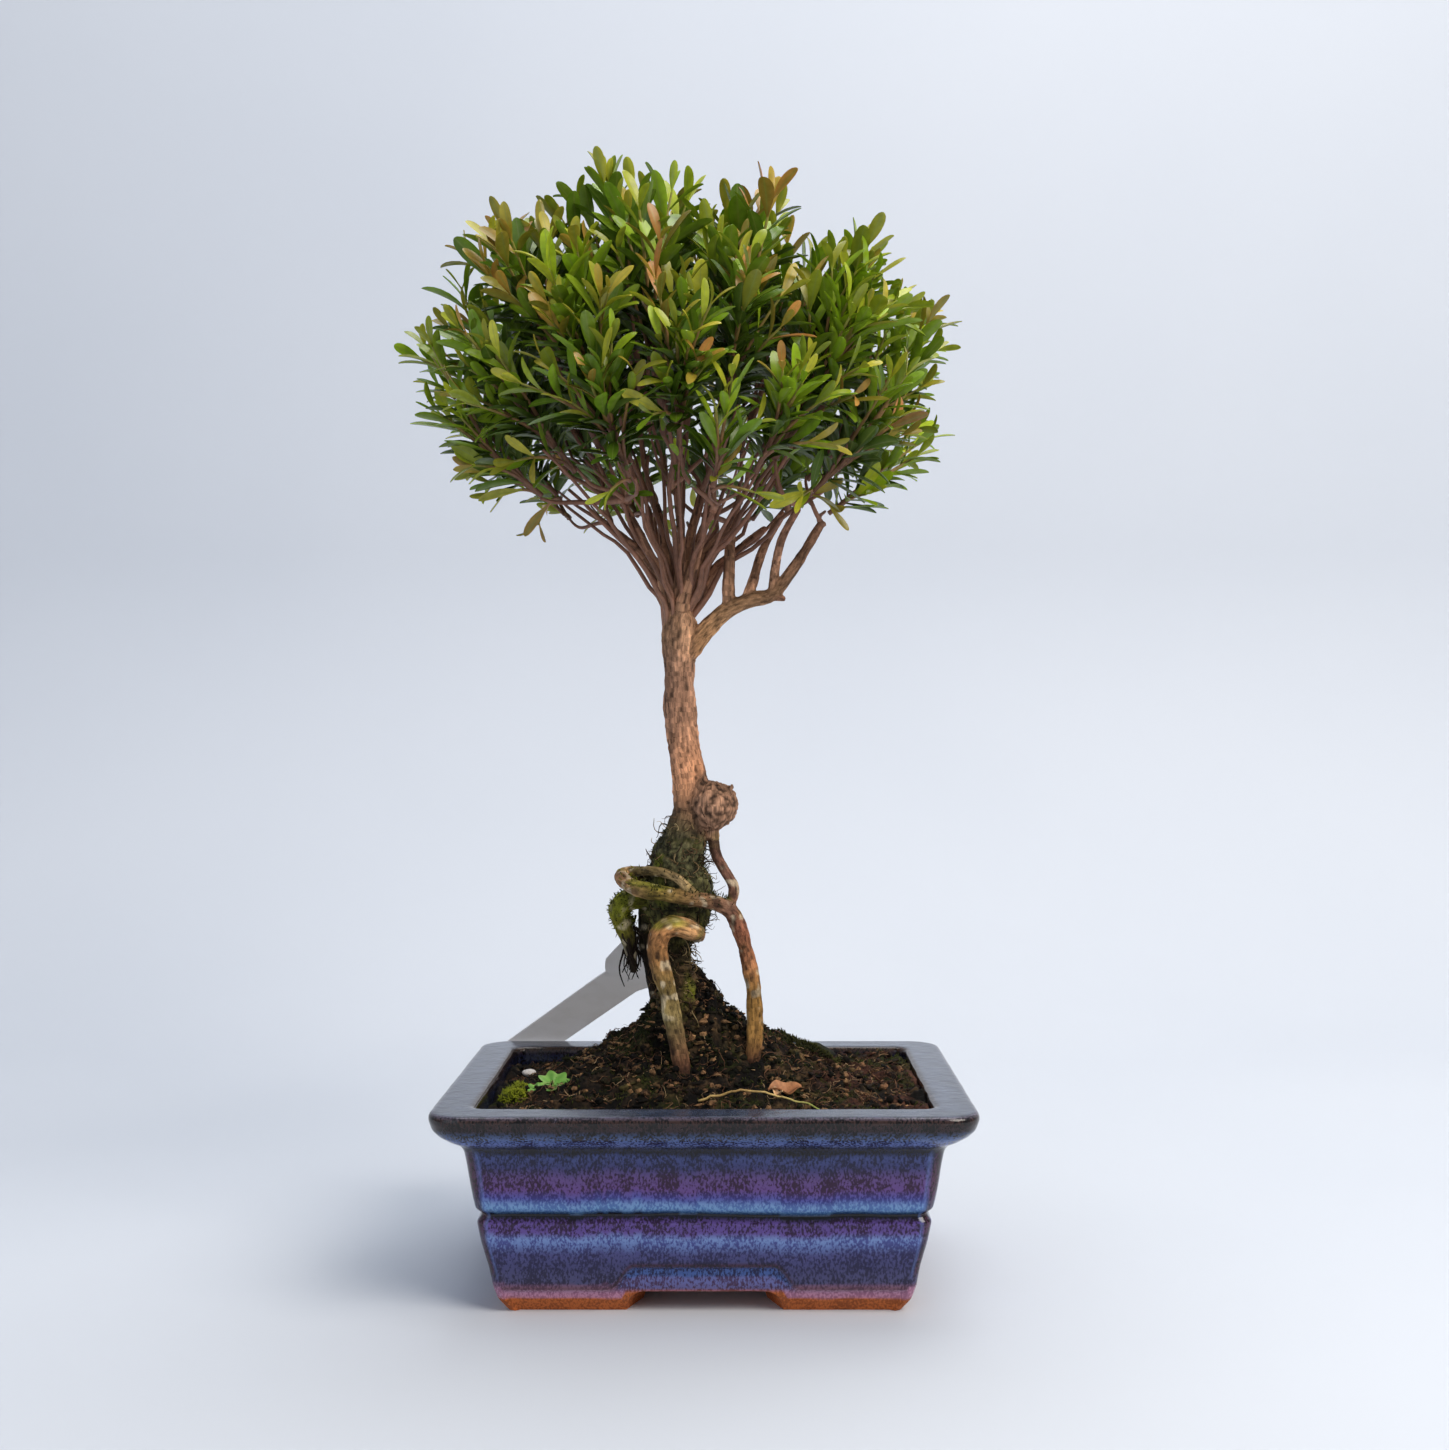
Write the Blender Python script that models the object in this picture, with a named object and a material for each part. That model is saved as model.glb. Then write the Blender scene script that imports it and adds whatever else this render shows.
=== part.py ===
"""Exposed-root bonsai tree in a glazed rectangular pot.

Metres, +Z up, the pot's long front side faces -Y. The origin is on the ground under
the middle of the whole plant, a little left of the pot's own centre. The tree is one
grown piece of wood; every leafy twig, the soil, the moss, the label and what lies on
the soil are pieces of their own.
"""

from math import cos, exp, pi, radians, sin, sqrt, tan

import bmesh
import bpy
import numpy as np
from mathutils import Matrix, Vector
from mathutils.bvhtree import BVHTree

MM = 0.001

# ---- Pot -------------------------------------------------------------------------
POT_X = 0.0040  # the pot's centre, so that the whole plant's box is centred on the origin
RIM_LENGTH = 0.1630
RIM_WIDTH = 0.1200
POT_HEIGHT = 0.0634
RIM_FACE = 0.0104  # height of the rim's rounded face
RIM_LAND = 0.0130  # width of the rim's flat top
RIM_OVERHANG = 0.0098  # how far the rim stands out over the body
COVE_HEIGHT = 0.0030
# The rim's face rolls under: share of the overhang, and height over the face's foot.
RIM_ROLL = ((0.86, -0.0006), (0.56, 0.0010), (0.28, 0.0030), (0.10, 0.0054), (0.02, 0.0078))
CORNER_RADIUS = 0.0100  # of the rim's outline, seen from above
CORNER_FALL = 0.45  # the corner radius lost for each unit of inset
LEAST_CORNER = 0.0030
CORNER_STEPS = 5
EDGE_ROUND = 0.0008
WALL = 0.0047
TIER_HEIGHT = 0.0313  # height of the groove between the two tiers
GROOVE_DEPTH = 0.0010
GROOVE_HALF = 0.0008
BEAD_HEIGHT = 0.0034  # height of the swelling above the groove
BEAD_DEPTH = 0.0004
UPPER_TAPER = 0.0032
LOWER_TAPER = 0.0042
SKIRT_HEIGHT = 0.0096  # where the lower tier ends and turns in to the feet
SKIRT_TURN = 0.0016
FOOT_TAPER = 0.0028
FOOT_BAND = 0.0044  # height of the bare clay band at the foot
FOOT_HEIGHT = 0.0068
FOOT_LENGTH = 0.0360  # of each foot along the pot's long side, at the ground
FOOT_DEPTH = 0.0238  # and along its short side
FOOT_WIDTH = 0.0120  # how thick the L of a foot is
ARCH_SLOPE = 0.0068  # how much narrower each arch is at its top, at each end
ARCH_STEPS = 4
RECESS_EXTRA = 0.0004  # the hollow between the feet goes this much deeper than the arches
FLOOR_THICKNESS = 0.0053
DRAIN_RADIUS = 0.0060
DRAIN_SPACING = 0.0700
PAST = 0.0050  # how far a cutter runs past what it cuts

# ---- Drain screens ---------------------------------------------------------------
SCREEN_SIDE = 0.0210
SCREEN_THICKNESS = 0.0008
SCREEN_CELLS = 7
GAP = 0.0003  # between pieces that touch

# ---- Soil ------------------------------------------------------------------------
SOIL_LEFT = 0.0065  # depth of the soil under the rim at the left wall
SOIL_RIGHT = 0.0018  # and at the right wall
MOUND_HEIGHT = 0.0245
MOUND_X = -0.0060  # the mound's middle, from the pot's centre
MOUND_Y = 0.0040
MOUND_LENGTH = 0.0270  # spread of the mound along X and along Y
MOUND_DEPTH = 0.0165
NECK_HEIGHT = 0.0130  # the soil climbs round the foot of the root core
NECK_SPREAD = 0.0080
SOIL_RINGS = (1.0, 0.86, 0.7, 0.54, 0.4, 0.28, 0.18, 0.1)
LIFT = 0.0007  # between the soil's facets and what lies on them

# ---- Tree: points in millimetres, x and y from the pot's centre, z above the rim --
# Each row is x, y, z and the radius there.
ROOT_CORE = (
    (-8.8, 1, -8, 7), (-8.8, 1, 14, 8), (-9, 1, 23, 7.2), (-9.6, 1, 31, 5.4), (-10.5, 1, 37, 4.6),
    (-10.3, 1, 43, 5.4), (-9.5, 1, 50, 9.4), (-9.3, 1, 60, 10.8), (-9.8, 0.5, 69, 8.4),
    (-7.5, 0, 76.4, 7.1), (-5.3, 0, 86, 5.2),
)
TRUNK = (
    (-4.9, 0, 82, 5.2), (-5.4, 0, 96, 5.7), (-7.8, 0, 109, 5.2), (-8.8, 0, 122, 5),
    (-9.4, 0, 135, 5), (-9, 0, 146, 5.5), (-8.6, 0, 154, 5),
)
BULB = (1.6, -1, 88.1, 8.1)
WRAP_ROOT = (
    (-16, 7, 64.5, 2.2), (-25, 4.5, 65, 2.4), (-27.6, -2, 64.3, 2.5), (-23.2, -8, 61.9, 2.5),
    (-18.2, -11, 60.8, 2.5), (-12, -12.2, 59.9, 2.4), (-4, -12, 58.3, 2.4), (3.5, -9, 56.8, 2.6),
    (8.5, -6, 53, 2.8), (11.6, -5.2, 44.5, 2.6), (14.1, -7, 34.7, 2.5), (15.4, -8.8, 24, 2.6),
    (15.4, -10.6, 13, 2.6), (14.5, -11.6, 3, 2.4), (14.2, -12, -7, 2.2),
)
UPPER_ROOT = (
    (-25, 1.5, 65.5, 1.5), (-19.6, -6, 66.9, 1.6), (-13.5, -10.5, 66.6, 1.5), (-9, -12.3, 64.9, 1.4),
    (-6, -12.3, 62.2, 1.4), (-2.8, -11.3, 59.2, 1.3),
)
FRONT_ROOT = (
    (-2.4, -5, 46.2, 2.9), (-6.2, -11, 49, 3.3), (-11, -13.5, 50.2, 3.4), (-14.6, -14, 47.9, 3.3),
    (-15.7, -14, 43, 3.2), (-13.8, -15, 35.3, 3.1), (-11.7, -15.5, 27, 3), (-10.1, -16, 18.5, 3),
    (-7.6, -17, 6, 2.7), (-6.2, -17.5, -6, 2.2),
)
LOOP_ROOT = (
    (-15, 0, 57, 3.4), (-23.5, -1, 57.5, 3.9), (-28, -1, 54, 3.7), (-26.9, 0, 48.7, 3.1),
    (-25.2, 1, 42, 2.3), (-23.9, 1.5, 33, 1.1),
)
BACK_ROOT = (
    (-20, 2, 56, 2.7), (-20.5, 4, 44, 2.2), (-18.4, 5.5, 31, 2), (-16, 6, 18, 2), (-14.5, 6.5, -6, 1.7),
)
THIN_ROOT = (
    (1.6, -1, 84, 1.8), (2.6, -1.8, 73.1, 1.7), (5.8, -3, 66.6, 1.7), (8.7, -4, 61, 1.8), (7, -6.6, 54, 1.7),
)
RIGHT_BRANCH = (
    (-8.6, 0, 135, 3.4), (-3.9, -1, 140.5, 3.2), (1.3, -2, 146.5, 2.9), (7.1, -3, 151.2, 2.8),
    (14, -3.8, 154.2, 2.4), (21.3, -4.5, 156, 2.2), (26.3, -5, 162, 1.9), (31, -5.5, 169, 1.7),
    (37, -6, 179, 1.4),
)
RIGHT_FORKS = (
    ((7.1, -3, 150.5, 2.2), (7.1, -2.5, 163.8, 1.9), (8.2, 0, 178, 1.5), (11, 4, 190, 1.2)),
    ((12.4, -3.6, 153.4, 1.9), (14.4, -2.6, 158.5, 1.7), (18.5, 4, 172, 1.4), (25, 9, 184, 1.2)),
    ((21.3, -4.4, 155.5, 1.7), (21.8, -6, 163, 1.5), (24, -13, 173, 1.3), (29, -19, 182, 1.2)),
    ((19.5, -4.4, 155.8, 1.7), (25.4, -5.4, 154.4, 0.9)),
)
FORK = (-8, 0, 151.6)  # the point that the limbs and the leafy twigs spread from
LIMB_ROOT = (-8.8, 0, 141)
LIMB_COUNT = 9
LIMB_REACH = 0.0400
LIMB_LEAST = radians(42)  # least rise of a limb over the level
LIMB_TURN = radians(20)
LIMB_THICK = 0.0025
LIMB_THIN = 0.0016
TWIG_REACH = 0.0580  # where a branchlet ends and its leafy twig begins
TWIG_LEAD = 0.0050  # the last straight stretch of a branchlet
TWIG_THICK = 0.0012
TWIG_THIN = 0.0009
GROUND_GRIP = 0.0005  # a root's hole in the soil runs this much past its end
TRUNK_SIDES = 10
ROOT_SIDES = 8
LIMB_SIDES = 6
TWIG_SIDES = 5

# ---- Crown -----------------------------------------------------------------------
CROWN_LENGTH = 0.1840
CROWN_DEPTH = 0.1500
CROWN_TURN = radians(24)  # its left end comes forward
CROWN_RISE = 0.2266  # height of its widest level above the rim
CROWN_UP = 0.0740
CROWN_DOWN = 0.0530
CROWN_X = -0.0055  # the crown's middle, from the pot's centre
SPRAY_COUNT = 36
SPRAY_LEAST = radians(33)  # least rise of a leafy twig over the level
SPRAY_TURN = radians(8)
STEM_WIDTH = 0.0011
LEAF_LENGTH = 0.0190
LEAF_WIDTH = 0.0056
LEAF_THICKNESS = 0.0007
LEAF_BASE = 0.0016
LEAF_RISE = radians(47)  # between a leaf and its stem
LEAF_WIDEST = 0.55
LEAF_PAIRS = 5
PAIR_SPACING = 0.0024  # the least distance between a twig's pairs; a short twig bears fewer
TIP_LENGTH = 0.0060
CELL_GAP = 0.0006  # between the leaves of neighbouring twigs

# ---- Label, and what lies on the soil ---------------------------------------------
LABEL_WIDTH = 0.0160
LABEL_HEAD = 0.0200
LABEL_THICKNESS = 0.0006
LABEL_OVER_RIM = 0.0009
LABEL_X = -0.0615  # where it crosses the back rim, from the pot's centre
LABEL_TAIL = 0.0220
LABEL_CREASE = (-28.1, 26, 27.9)  # millimetres, as the tree's points
LABEL_TOP = (-15.5, 15.5, 42.5)
WEED_PLACE = (0.0172, -0.0090)  # distance from the left wall, and y
WEED_WIDTH = 0.0110
WEED_STEM = 0.0045
WEED_LOBES = (1.0, 0.72, 0.95, 0.8, 0.7, 0.9)
WEED_THICKNESS = 0.0008
PEBBLE_PLACE = (0.0080, 0.0211)
PEBBLE_RADIUS = 0.0019
DRY_LEAF_PLACE = (0.0240, 0.0190)  # x from the pot's centre, and distance from the front wall
DRY_LEAF_LENGTH = 0.0105
DRY_LEAF_WIDTH = 0.0050
DRY_LEAF_THICKNESS = 0.0005
DRY_LEAF_CURL = 0.35
STALK_ENDS = (-0.0020, 0.0350)  # x from the pot's centre
STALK_FROM_FRONT = 0.0120
STALK_BOW = 0.0030  # how far its right end comes forward
STALK_RADIUS = 0.00055
STALK_ARCH = 0.0035
MOSS_RISE = 0.0032
LEFT_MOSS = (0.0075, 0.0350)  # distance from the left wall and from the front wall
LEFT_MOSS_SIZE = (0.0045, 0.0060)
RIGHT_MOSS = (0.0330, 0.0120)  # x from the pot's centre, and y
RIGHT_MOSS_SIZE = (0.0110, 0.0090)


def clear_scene():
    """Empty the file of its starting objects."""
    for item in list(bpy.data.objects):
        bpy.data.objects.remove(item)


def finish(name, colour, roughness, metallic=0.0):
    """A Principled material with the piece's colour."""
    material = bpy.data.materials.new(name)
    material.use_nodes = True
    shader = material.node_tree.nodes["Principled BSDF"]
    shader.inputs["Base Color"].default_value = (*colour, 1.0)
    shader.inputs["Roughness"].default_value = roughness
    shader.inputs["Metallic"].default_value = metallic
    material.diffuse_color = (*colour, 1.0)
    return material


def piece(name, vertices, faces, material=None, sharp=radians(40)):
    """A closed mesh object with its faces turned outwards."""
    mesh = bpy.data.meshes.new(name)
    mesh.from_pydata([tuple(v) for v in vertices], [], [tuple(f) for f in faces])
    form = bmesh.new()
    form.from_mesh(mesh)
    bmesh.ops.recalc_face_normals(form, faces=form.faces)
    form.to_mesh(mesh)
    form.free()
    mesh.shade_smooth()
    mesh.set_sharp_from_angle(angle=sharp)
    if material:
        mesh.materials.append(material)
    made = bpy.data.objects.new(name, mesh)
    bpy.context.scene.collection.objects.link(made)
    return made


def guide(name, vertices, faces):
    """A cutter, or a shape that is joined into another piece."""
    made = piece(name, vertices, faces)
    made.hide_render = True
    made.display_type = "WIRE"
    return made


def boolean(target, tool, operation, overlapping=False):
    """Cut or join, with the exact solver."""
    modifier = target.modifiers.new(tool.name, "BOOLEAN")
    modifier.operation = operation
    modifier.solver = "EXACT"
    modifier.use_self = overlapping
    modifier.object = tool


def loft(rings, cap_start=True, cap_end=True):
    """Closed skin over rings that all have the same number of points."""
    count = len(rings[0])
    vertices = [point for ring in rings for point in ring]
    faces = []
    for k in range(len(rings) - 1):
        for i in range(count):
            j = (i + 1) % count
            faces.append((k * count + i, k * count + j, (k + 1) * count + j, (k + 1) * count + i))
    if cap_start:
        faces.append(tuple(range(count)))
    if cap_end:
        faces.append(tuple(range((len(rings) - 1) * count, len(rings) * count)))
    return vertices, faces


def box(low, high):
    """A block between two corners."""
    square = ((low[0], low[1]), (high[0], low[1]), (high[0], high[1]), (low[0], high[1]))
    return loft([[(x, y, z) for x, y in square] for z in (low[2], high[2])])


# ---- Pot -------------------------------------------------------------------------
def outline(inset, height):
    """The pot's rounded rectangle, drawn in from the rim's edge by an inset."""
    half_x = RIM_LENGTH / 2 - inset
    half_y = RIM_WIDTH / 2 - inset
    radius = max(CORNER_RADIUS - CORNER_FALL * inset, LEAST_CORNER)
    points = []
    for quarter in range(4):
        side_x = (1, -1, -1, 1)[quarter]
        side_y = (1, 1, -1, -1)[quarter]
        for step in range(CORNER_STEPS + 1):
            angle = (quarter + step / CORNER_STEPS) * pi / 2
            points.append((
                POT_X + side_x * (half_x - radius) + radius * cos(angle),
                side_y * (half_y - radius) + radius * sin(angle),
                height,
            ))
    return points


BODY_TOP = POT_HEIGHT - RIM_FACE - COVE_HEIGHT
GROOVE_INSET = RIM_OVERHANG + UPPER_TAPER
SKIRT_INSET = GROOVE_INSET + LOWER_TAPER
GROUND_INSET = SKIRT_INSET + SKIRT_TURN + FOOT_TAPER
POT_FLOOR = FOOT_HEIGHT + RECESS_EXTRA + FLOOR_THICKNESS


def inner_inset(height):
    """How far the inside of the pot's wall is from the rim's edge at a height."""
    return float(np.interp(
        height,
        (POT_FLOOR, BODY_TOP, POT_HEIGHT - EDGE_ROUND),
        (SKIRT_INSET + WALL, RIM_OVERHANG + WALL, RIM_LAND),
    ))


def arch(half, run, along_x):
    """A prism through the pot under its body, narrower at its top, with curved ends."""
    section = []
    for step in range(ARCH_STEPS + 1):
        share = step / ARCH_STEPS
        section.append((half - ARCH_SLOPE * share ** 1.6, FOOT_HEIGHT * sin(share * pi / 2)))
    section = [(half, -PAST)] + section
    section = section + [(-across, height) for across, height in reversed(section)]
    rings = []
    for end in (-run, run):
        if along_x:
            rings.append([(POT_X + end, across, height) for across, height in section])
        else:
            rings.append([(POT_X + across, end, height) for across, height in section])
    return loft(rings)


def make_pot():
    """Stepped sides under a broad rim, on four corner feet, with two drain holes."""
    face_low = POT_HEIGHT - RIM_FACE
    outside = (
        (GROUND_INSET, 0),
        (SKIRT_INSET + SKIRT_TURN, FOOT_BAND),
        (SKIRT_INSET, SKIRT_HEIGHT),
        (GROOVE_INSET + 0.2 * LOWER_TAPER, TIER_HEIGHT - 2 * BEAD_HEIGHT),
        (GROOVE_INSET, TIER_HEIGHT - 2 * GROOVE_HALF),
        (GROOVE_INSET + GROOVE_DEPTH, TIER_HEIGHT - GROOVE_HALF),
        (GROOVE_INSET + GROOVE_DEPTH, TIER_HEIGHT + GROOVE_HALF),
        (GROOVE_INSET - BEAD_DEPTH, TIER_HEIGHT + BEAD_HEIGHT),
        (RIM_OVERHANG + 0.5 * UPPER_TAPER, TIER_HEIGHT + 2 * BEAD_HEIGHT),
        (RIM_OVERHANG, BODY_TOP),
        *((share * RIM_OVERHANG, face_low + rise) for share, rise in RIM_ROLL),
        (0, POT_HEIGHT - EDGE_ROUND),
        (EDGE_ROUND, POT_HEIGHT),
    )
    inside = (
        (RIM_LAND - EDGE_ROUND, POT_HEIGHT),
        (RIM_LAND, POT_HEIGHT - EDGE_ROUND),
        (RIM_OVERHANG + WALL, BODY_TOP),
        (SKIRT_INSET + WALL, POT_FLOOR),
    )
    rings = [outline(inset, height) for inset, height in outside + inside]
    clay = finish("glazed_stoneware", (0.055, 0.050, 0.13), 0.25)
    pot = piece("pot", *loft(rings), clay)
    ground_x = RIM_LENGTH / 2 - GROUND_INSET
    ground_y = RIM_WIDTH / 2 - GROUND_INSET
    recess = guide("recess_cutter", *box(
        (POT_X - ground_x + FOOT_WIDTH, -ground_y + FOOT_WIDTH, -PAST),
        (POT_X + ground_x - FOOT_WIDTH, ground_y - FOOT_WIDTH, FOOT_HEIGHT + RECESS_EXTRA),
    ))
    boolean(pot, recess, "DIFFERENCE")
    for name, half, run, along_x in (
        ("long_arch_cutter", ground_x - FOOT_LENGTH, RIM_WIDTH, False),
        ("short_arch_cutter", ground_y - FOOT_DEPTH, RIM_LENGTH, True),
    ):
        boolean(pot, guide(name, *arch(half, run, along_x)), "DIFFERENCE")
    for side in (-1, 1):
        rings = [[(POT_X + side * DRAIN_SPACING / 2 + DRAIN_RADIUS * cos(k * pi / 8),
                   DRAIN_RADIUS * sin(k * pi / 8), height) for k in range(16)]
                 for height in (-PAST, POT_FLOOR + PAST)]
        boolean(pot, guide("drain_cutter", *loft(rings)), "DIFFERENCE")


def make_screen(side):
    """A square of plastic mesh over a drain hole: a plate of cells with every second one open."""
    step = SCREEN_SIDE / SCREEN_CELLS
    low = POT_FLOOR + GAP
    count = SCREEN_CELLS + 1
    left = POT_X + side * DRAIN_SPACING / 2 - SCREEN_SIDE / 2
    vertices = [(left + i * step, -SCREEN_SIDE / 2 + j * step, low + level * SCREEN_THICKNESS)
                for level in (0, 1) for j in range(count) for i in range(count)]
    solid = {(i, j) for i in range(SCREEN_CELLS) for j in range(SCREEN_CELLS) if not (i % 2 and j % 2)}
    faces = []
    for i, j in sorted(solid):
        corner = j * count + i
        square = (corner, corner + 1, corner + count + 1, corner + count)
        faces.append(tuple(v + count * count for v in square))
        faces.append(square[::-1])
        for k, beside in enumerate(((i, j - 1), (i + 1, j), (i, j + 1), (i - 1, j))):
            if beside not in solid:
                first = square[k]
                second = square[(k + 1) % 4]
                faces.append((first, second, second + count * count, first + count * count))
    mesh = finish("screen_plastic", (0.02, 0.02, 0.02), 0.6)
    piece("drain_screen_left" if side < 0 else "drain_screen_right", vertices, faces, mesh)


# ---- Soil ------------------------------------------------------------------------
def soil_height(x, y):
    """Height of the soil: a slope from the left wall to the right one, and the mound."""
    half = RIM_LENGTH / 2 - RIM_LAND
    across = min(max((x - POT_X) / half, -1), 1)
    depth = (SOIL_LEFT + SOIL_RIGHT) / 2 - across * (SOIL_LEFT - SOIL_RIGHT) / 2
    run_x = x - POT_X - MOUND_X
    run_y = y - MOUND_Y
    mound = MOUND_HEIGHT * exp(-0.5 * ((run_x / MOUND_LENGTH) ** 2 + (run_y / MOUND_DEPTH) ** 2))
    neck = NECK_HEIGHT * exp(-0.5 * (run_x ** 2 + run_y ** 2) / NECK_SPREAD ** 2)
    return POT_HEIGHT - depth + mound + neck


def make_soil(roots):
    """The soil fills the pot up to its mound, with a hole for every root."""
    low = POT_FLOOR + GAP
    rings = [outline(inner_inset(low) + GAP, low)]
    middle_x = POT_X + MOUND_X
    edge = []
    for x, y, _ in outline(inner_inset(BODY_TOP) + GAP, 0):
        edge.append((x, y, soil_height(x, y)))
    for share in SOIL_RINGS:
        ring = []
        for x, y, _ in edge:
            inner_x = middle_x + (x - middle_x) * share
            inner_y = MOUND_Y + (y - MOUND_Y) * share
            ring.append((inner_x, inner_y, soil_height(inner_x, inner_y)))
        rings.append(ring)
    soil = piece("soil", *loft(rings), finish("potting_soil", (0.020, 0.015, 0.010), 0.95))
    for name, (path, sides) in roots.items():
        hole = guide("hole_for_" + name, *tube(path, sides, GAP, GROUND_GRIP))
        boolean(soil, hole, "DIFFERENCE")
    for side in (-1, 1):
        middle = POT_X + side * DRAIN_SPACING / 2
        reach = SCREEN_SIDE / 2 + GAP
        pocket = guide("screen_pocket", *box(
            (middle - reach, -reach, low - PAST),
            (middle + reach, reach, POT_FLOOR + GAP + SCREEN_THICKNESS + GAP),
        ))
        boolean(soil, pocket, "DIFFERENCE")
    return soil


# ---- Wood ------------------------------------------------------------------------
def in_pot(point):
    """A tree point, in millimetres from the pot's centre and its rim, as world metres."""
    return Vector((POT_X + point[0] * MM, point[1] * MM, POT_HEIGHT + point[2] * MM))


def smooth_path(rows, per_span):
    """Points and radii on a Catmull-Rom curve through the rows."""
    rows = [(*in_pot(row), row[3] * MM) for row in rows]
    points = [np.array(row) for row in (rows[0], *rows, rows[-1])]
    path = []
    for k in range(1, len(points) - 2):
        before, start, end, after = points[k - 1:k + 3]
        for step in range(per_span):
            t = step / per_span
            path.append(0.5 * (2 * start + (end - before) * t
                               + (2 * before - 5 * start + 4 * end - after) * t ** 2
                               + (3 * start - before - 3 * end + after) * t ** 3))
    path.append(points[-1])
    return [(Vector(row[:3]), float(row[3])) for row in path]


def tube(path, sides, grow=0.0, extend=0.0):
    """A round sweep along points with radii; grow widens it and extend lengthens its last end."""
    points = [point.copy() for point, _ in path]
    last = (points[-1] - points[-2]).normalized()
    points[-1] += last * extend
    rings = []
    side = None
    for k, point in enumerate(points):
        ahead = points[min(k + 1, len(points) - 1)] - points[max(k - 1, 0)]
        ahead.normalize()
        if side is None:
            side = ahead.orthogonal().normalized()
        side = (side - ahead * side.dot(ahead)).normalized()
        up = ahead.cross(side)
        radius = path[k][1] + grow
        rings.append([point + (side * cos(2 * pi * i / sides) + up * sin(2 * pi * i / sides)) * radius
                      for i in range(sides)])
    return loft(rings)


def spread(count, least, turn):
    """Directions spread evenly over the cap of the sky above a rise, by the golden angle."""
    golden = pi * (3 - sqrt(5))
    found = []
    for k in range(count):
        rise = sin(least) + (1 - sin(least)) * (k + 0.5) / count
        level = sqrt(1 - rise * rise)
        found.append(Vector((level * cos(k * golden + turn), level * sin(k * golden + turn), rise)))
    return found


def limb_paths(fork):
    """Each limb rises from the trunk's head and bends out to its knuckle."""
    start = in_pot(LIMB_ROOT)
    paths = []
    for way in spread(LIMB_COUNT, LIMB_LEAST, LIMB_TURN):
        end = fork + way * LIMB_REACH
        bend = fork + (way + Vector((0, 0, 1))) * LIMB_REACH / 5
        path = []
        for step in range(6):
            t = step / 5
            point = start * (1 - t) ** 2 + bend * 2 * t * (1 - t) + end * t ** 2
            path.append((point, LIMB_THICK + (LIMB_THIN - LIMB_THICK) * t))
        paths.append(path)
    return paths


def branchlet_paths(fork, ways, knuckles):
    """From the nearest limb's knuckle to the foot of each leafy twig."""
    paths = []
    for way in ways:
        foot = fork + way * TWIG_REACH
        lead = fork + way * (TWIG_REACH - TWIG_LEAD)
        near, before = min(knuckles, key=lambda pair: (pair[0] - lead).length)
        middle = (near + lead) / 2 + (near - before).normalized() * 0.1 * (lead - near).length
        paths.append([(near, TWIG_THICK), (middle, TWIG_THICK), (lead, TWIG_THIN), (foot, TWIG_THIN)])
    return paths


def root_paths():
    """The roots that go into the soil, each with the number of its sides."""
    return {
        "root_core": (smooth_path(ROOT_CORE, 1), TRUNK_SIDES),
        "wrap_root": (smooth_path(WRAP_ROOT, 2), ROOT_SIDES),
        "front_root": (smooth_path(FRONT_ROOT, 2), ROOT_SIDES),
        "back_root": (smooth_path(BACK_ROOT, 2), ROOT_SIDES),
    }


def ball(centre, radius):
    """A round swelling of the trunk."""
    rings = []
    for k in range(1, 8):
        level = pi * k / 8
        rings.append([(centre.x + radius * sin(level) * cos(2 * pi * i / TRUNK_SIDES),
                       centre.y + radius * sin(level) * sin(2 * pi * i / TRUNK_SIDES),
                       centre.z - radius * cos(level)) for i in range(TRUNK_SIDES)])
    return loft(rings)


def make_wood(roots, fork, ways):
    """Roots, trunk, limbs and branchlets joined into one grown piece."""
    core, *others = roots.values()
    shapes = [tube(path, sides) for path, sides in others]
    for rows in (UPPER_ROOT, LOOP_ROOT, THIN_ROOT):
        shapes.append(tube(smooth_path(rows, 2), ROOT_SIDES))
    shapes.append(tube(smooth_path(TRUNK, 1), TRUNK_SIDES))
    shapes.append(ball(in_pot(BULB), BULB[3] * MM))
    shapes.append(tube(smooth_path(RIGHT_BRANCH, 1), LIMB_SIDES))
    forks = [smooth_path(rows, 1) for rows in RIGHT_FORKS]
    shapes.extend(tube(path, LIMB_SIDES) for path in forks)
    limbs = limb_paths(fork)
    shapes.extend(tube(path, LIMB_SIDES) for path in limbs)
    right = smooth_path(RIGHT_BRANCH, 1)
    knuckles = [(path[-1][0] - (path[-1][0] - path[-2][0]) * 0.1, path[-2][0])
                for path in limbs + [right] + forks[:3]]
    shapes.extend(tube(path, TWIG_SIDES) for path in branchlet_paths(fork, ways, knuckles))
    vertices = []
    faces = []
    for points, sides in shapes:
        faces.extend(tuple(v + len(vertices) for v in face) for face in sides)
        vertices.extend(points)
    bark = finish("bark", (0.25, 0.14, 0.085), 0.85)
    wood = piece("trunk_and_roots", *tube(*core), bark)
    boolean(wood, guide("wood_shapes", vertices, faces), "UNION", overlapping=True)


# ---- Leaves ----------------------------------------------------------------------
def crown_reach(fork, way):
    """Distance from the fork, along a direction, to the crown's egg-shaped outside."""
    middle = Vector((POT_X + CROWN_X, 0, POT_HEIGHT + CROWN_RISE))
    turned = Matrix.Rotation(-CROWN_TURN, 3, "Z")
    reach = 0.0
    for half_height in (CROWN_UP, CROWN_DOWN):
        scale = Vector((2 / CROWN_LENGTH, 2 / CROWN_DEPTH, 1 / half_height))
        start = (turned @ (fork - middle)) * scale
        run = (turned @ way) * scale
        root = run.dot(start) ** 2 - run.dot(run) * (start.dot(start) - 1)
        if root <= 0:
            continue
        far = (-run.dot(start) + sqrt(root)) / run.dot(run)
        above = (fork + way * far).z >= middle.z
        if above == (half_height == CROWN_UP):
            reach = max(reach, far)
    return reach


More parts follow.
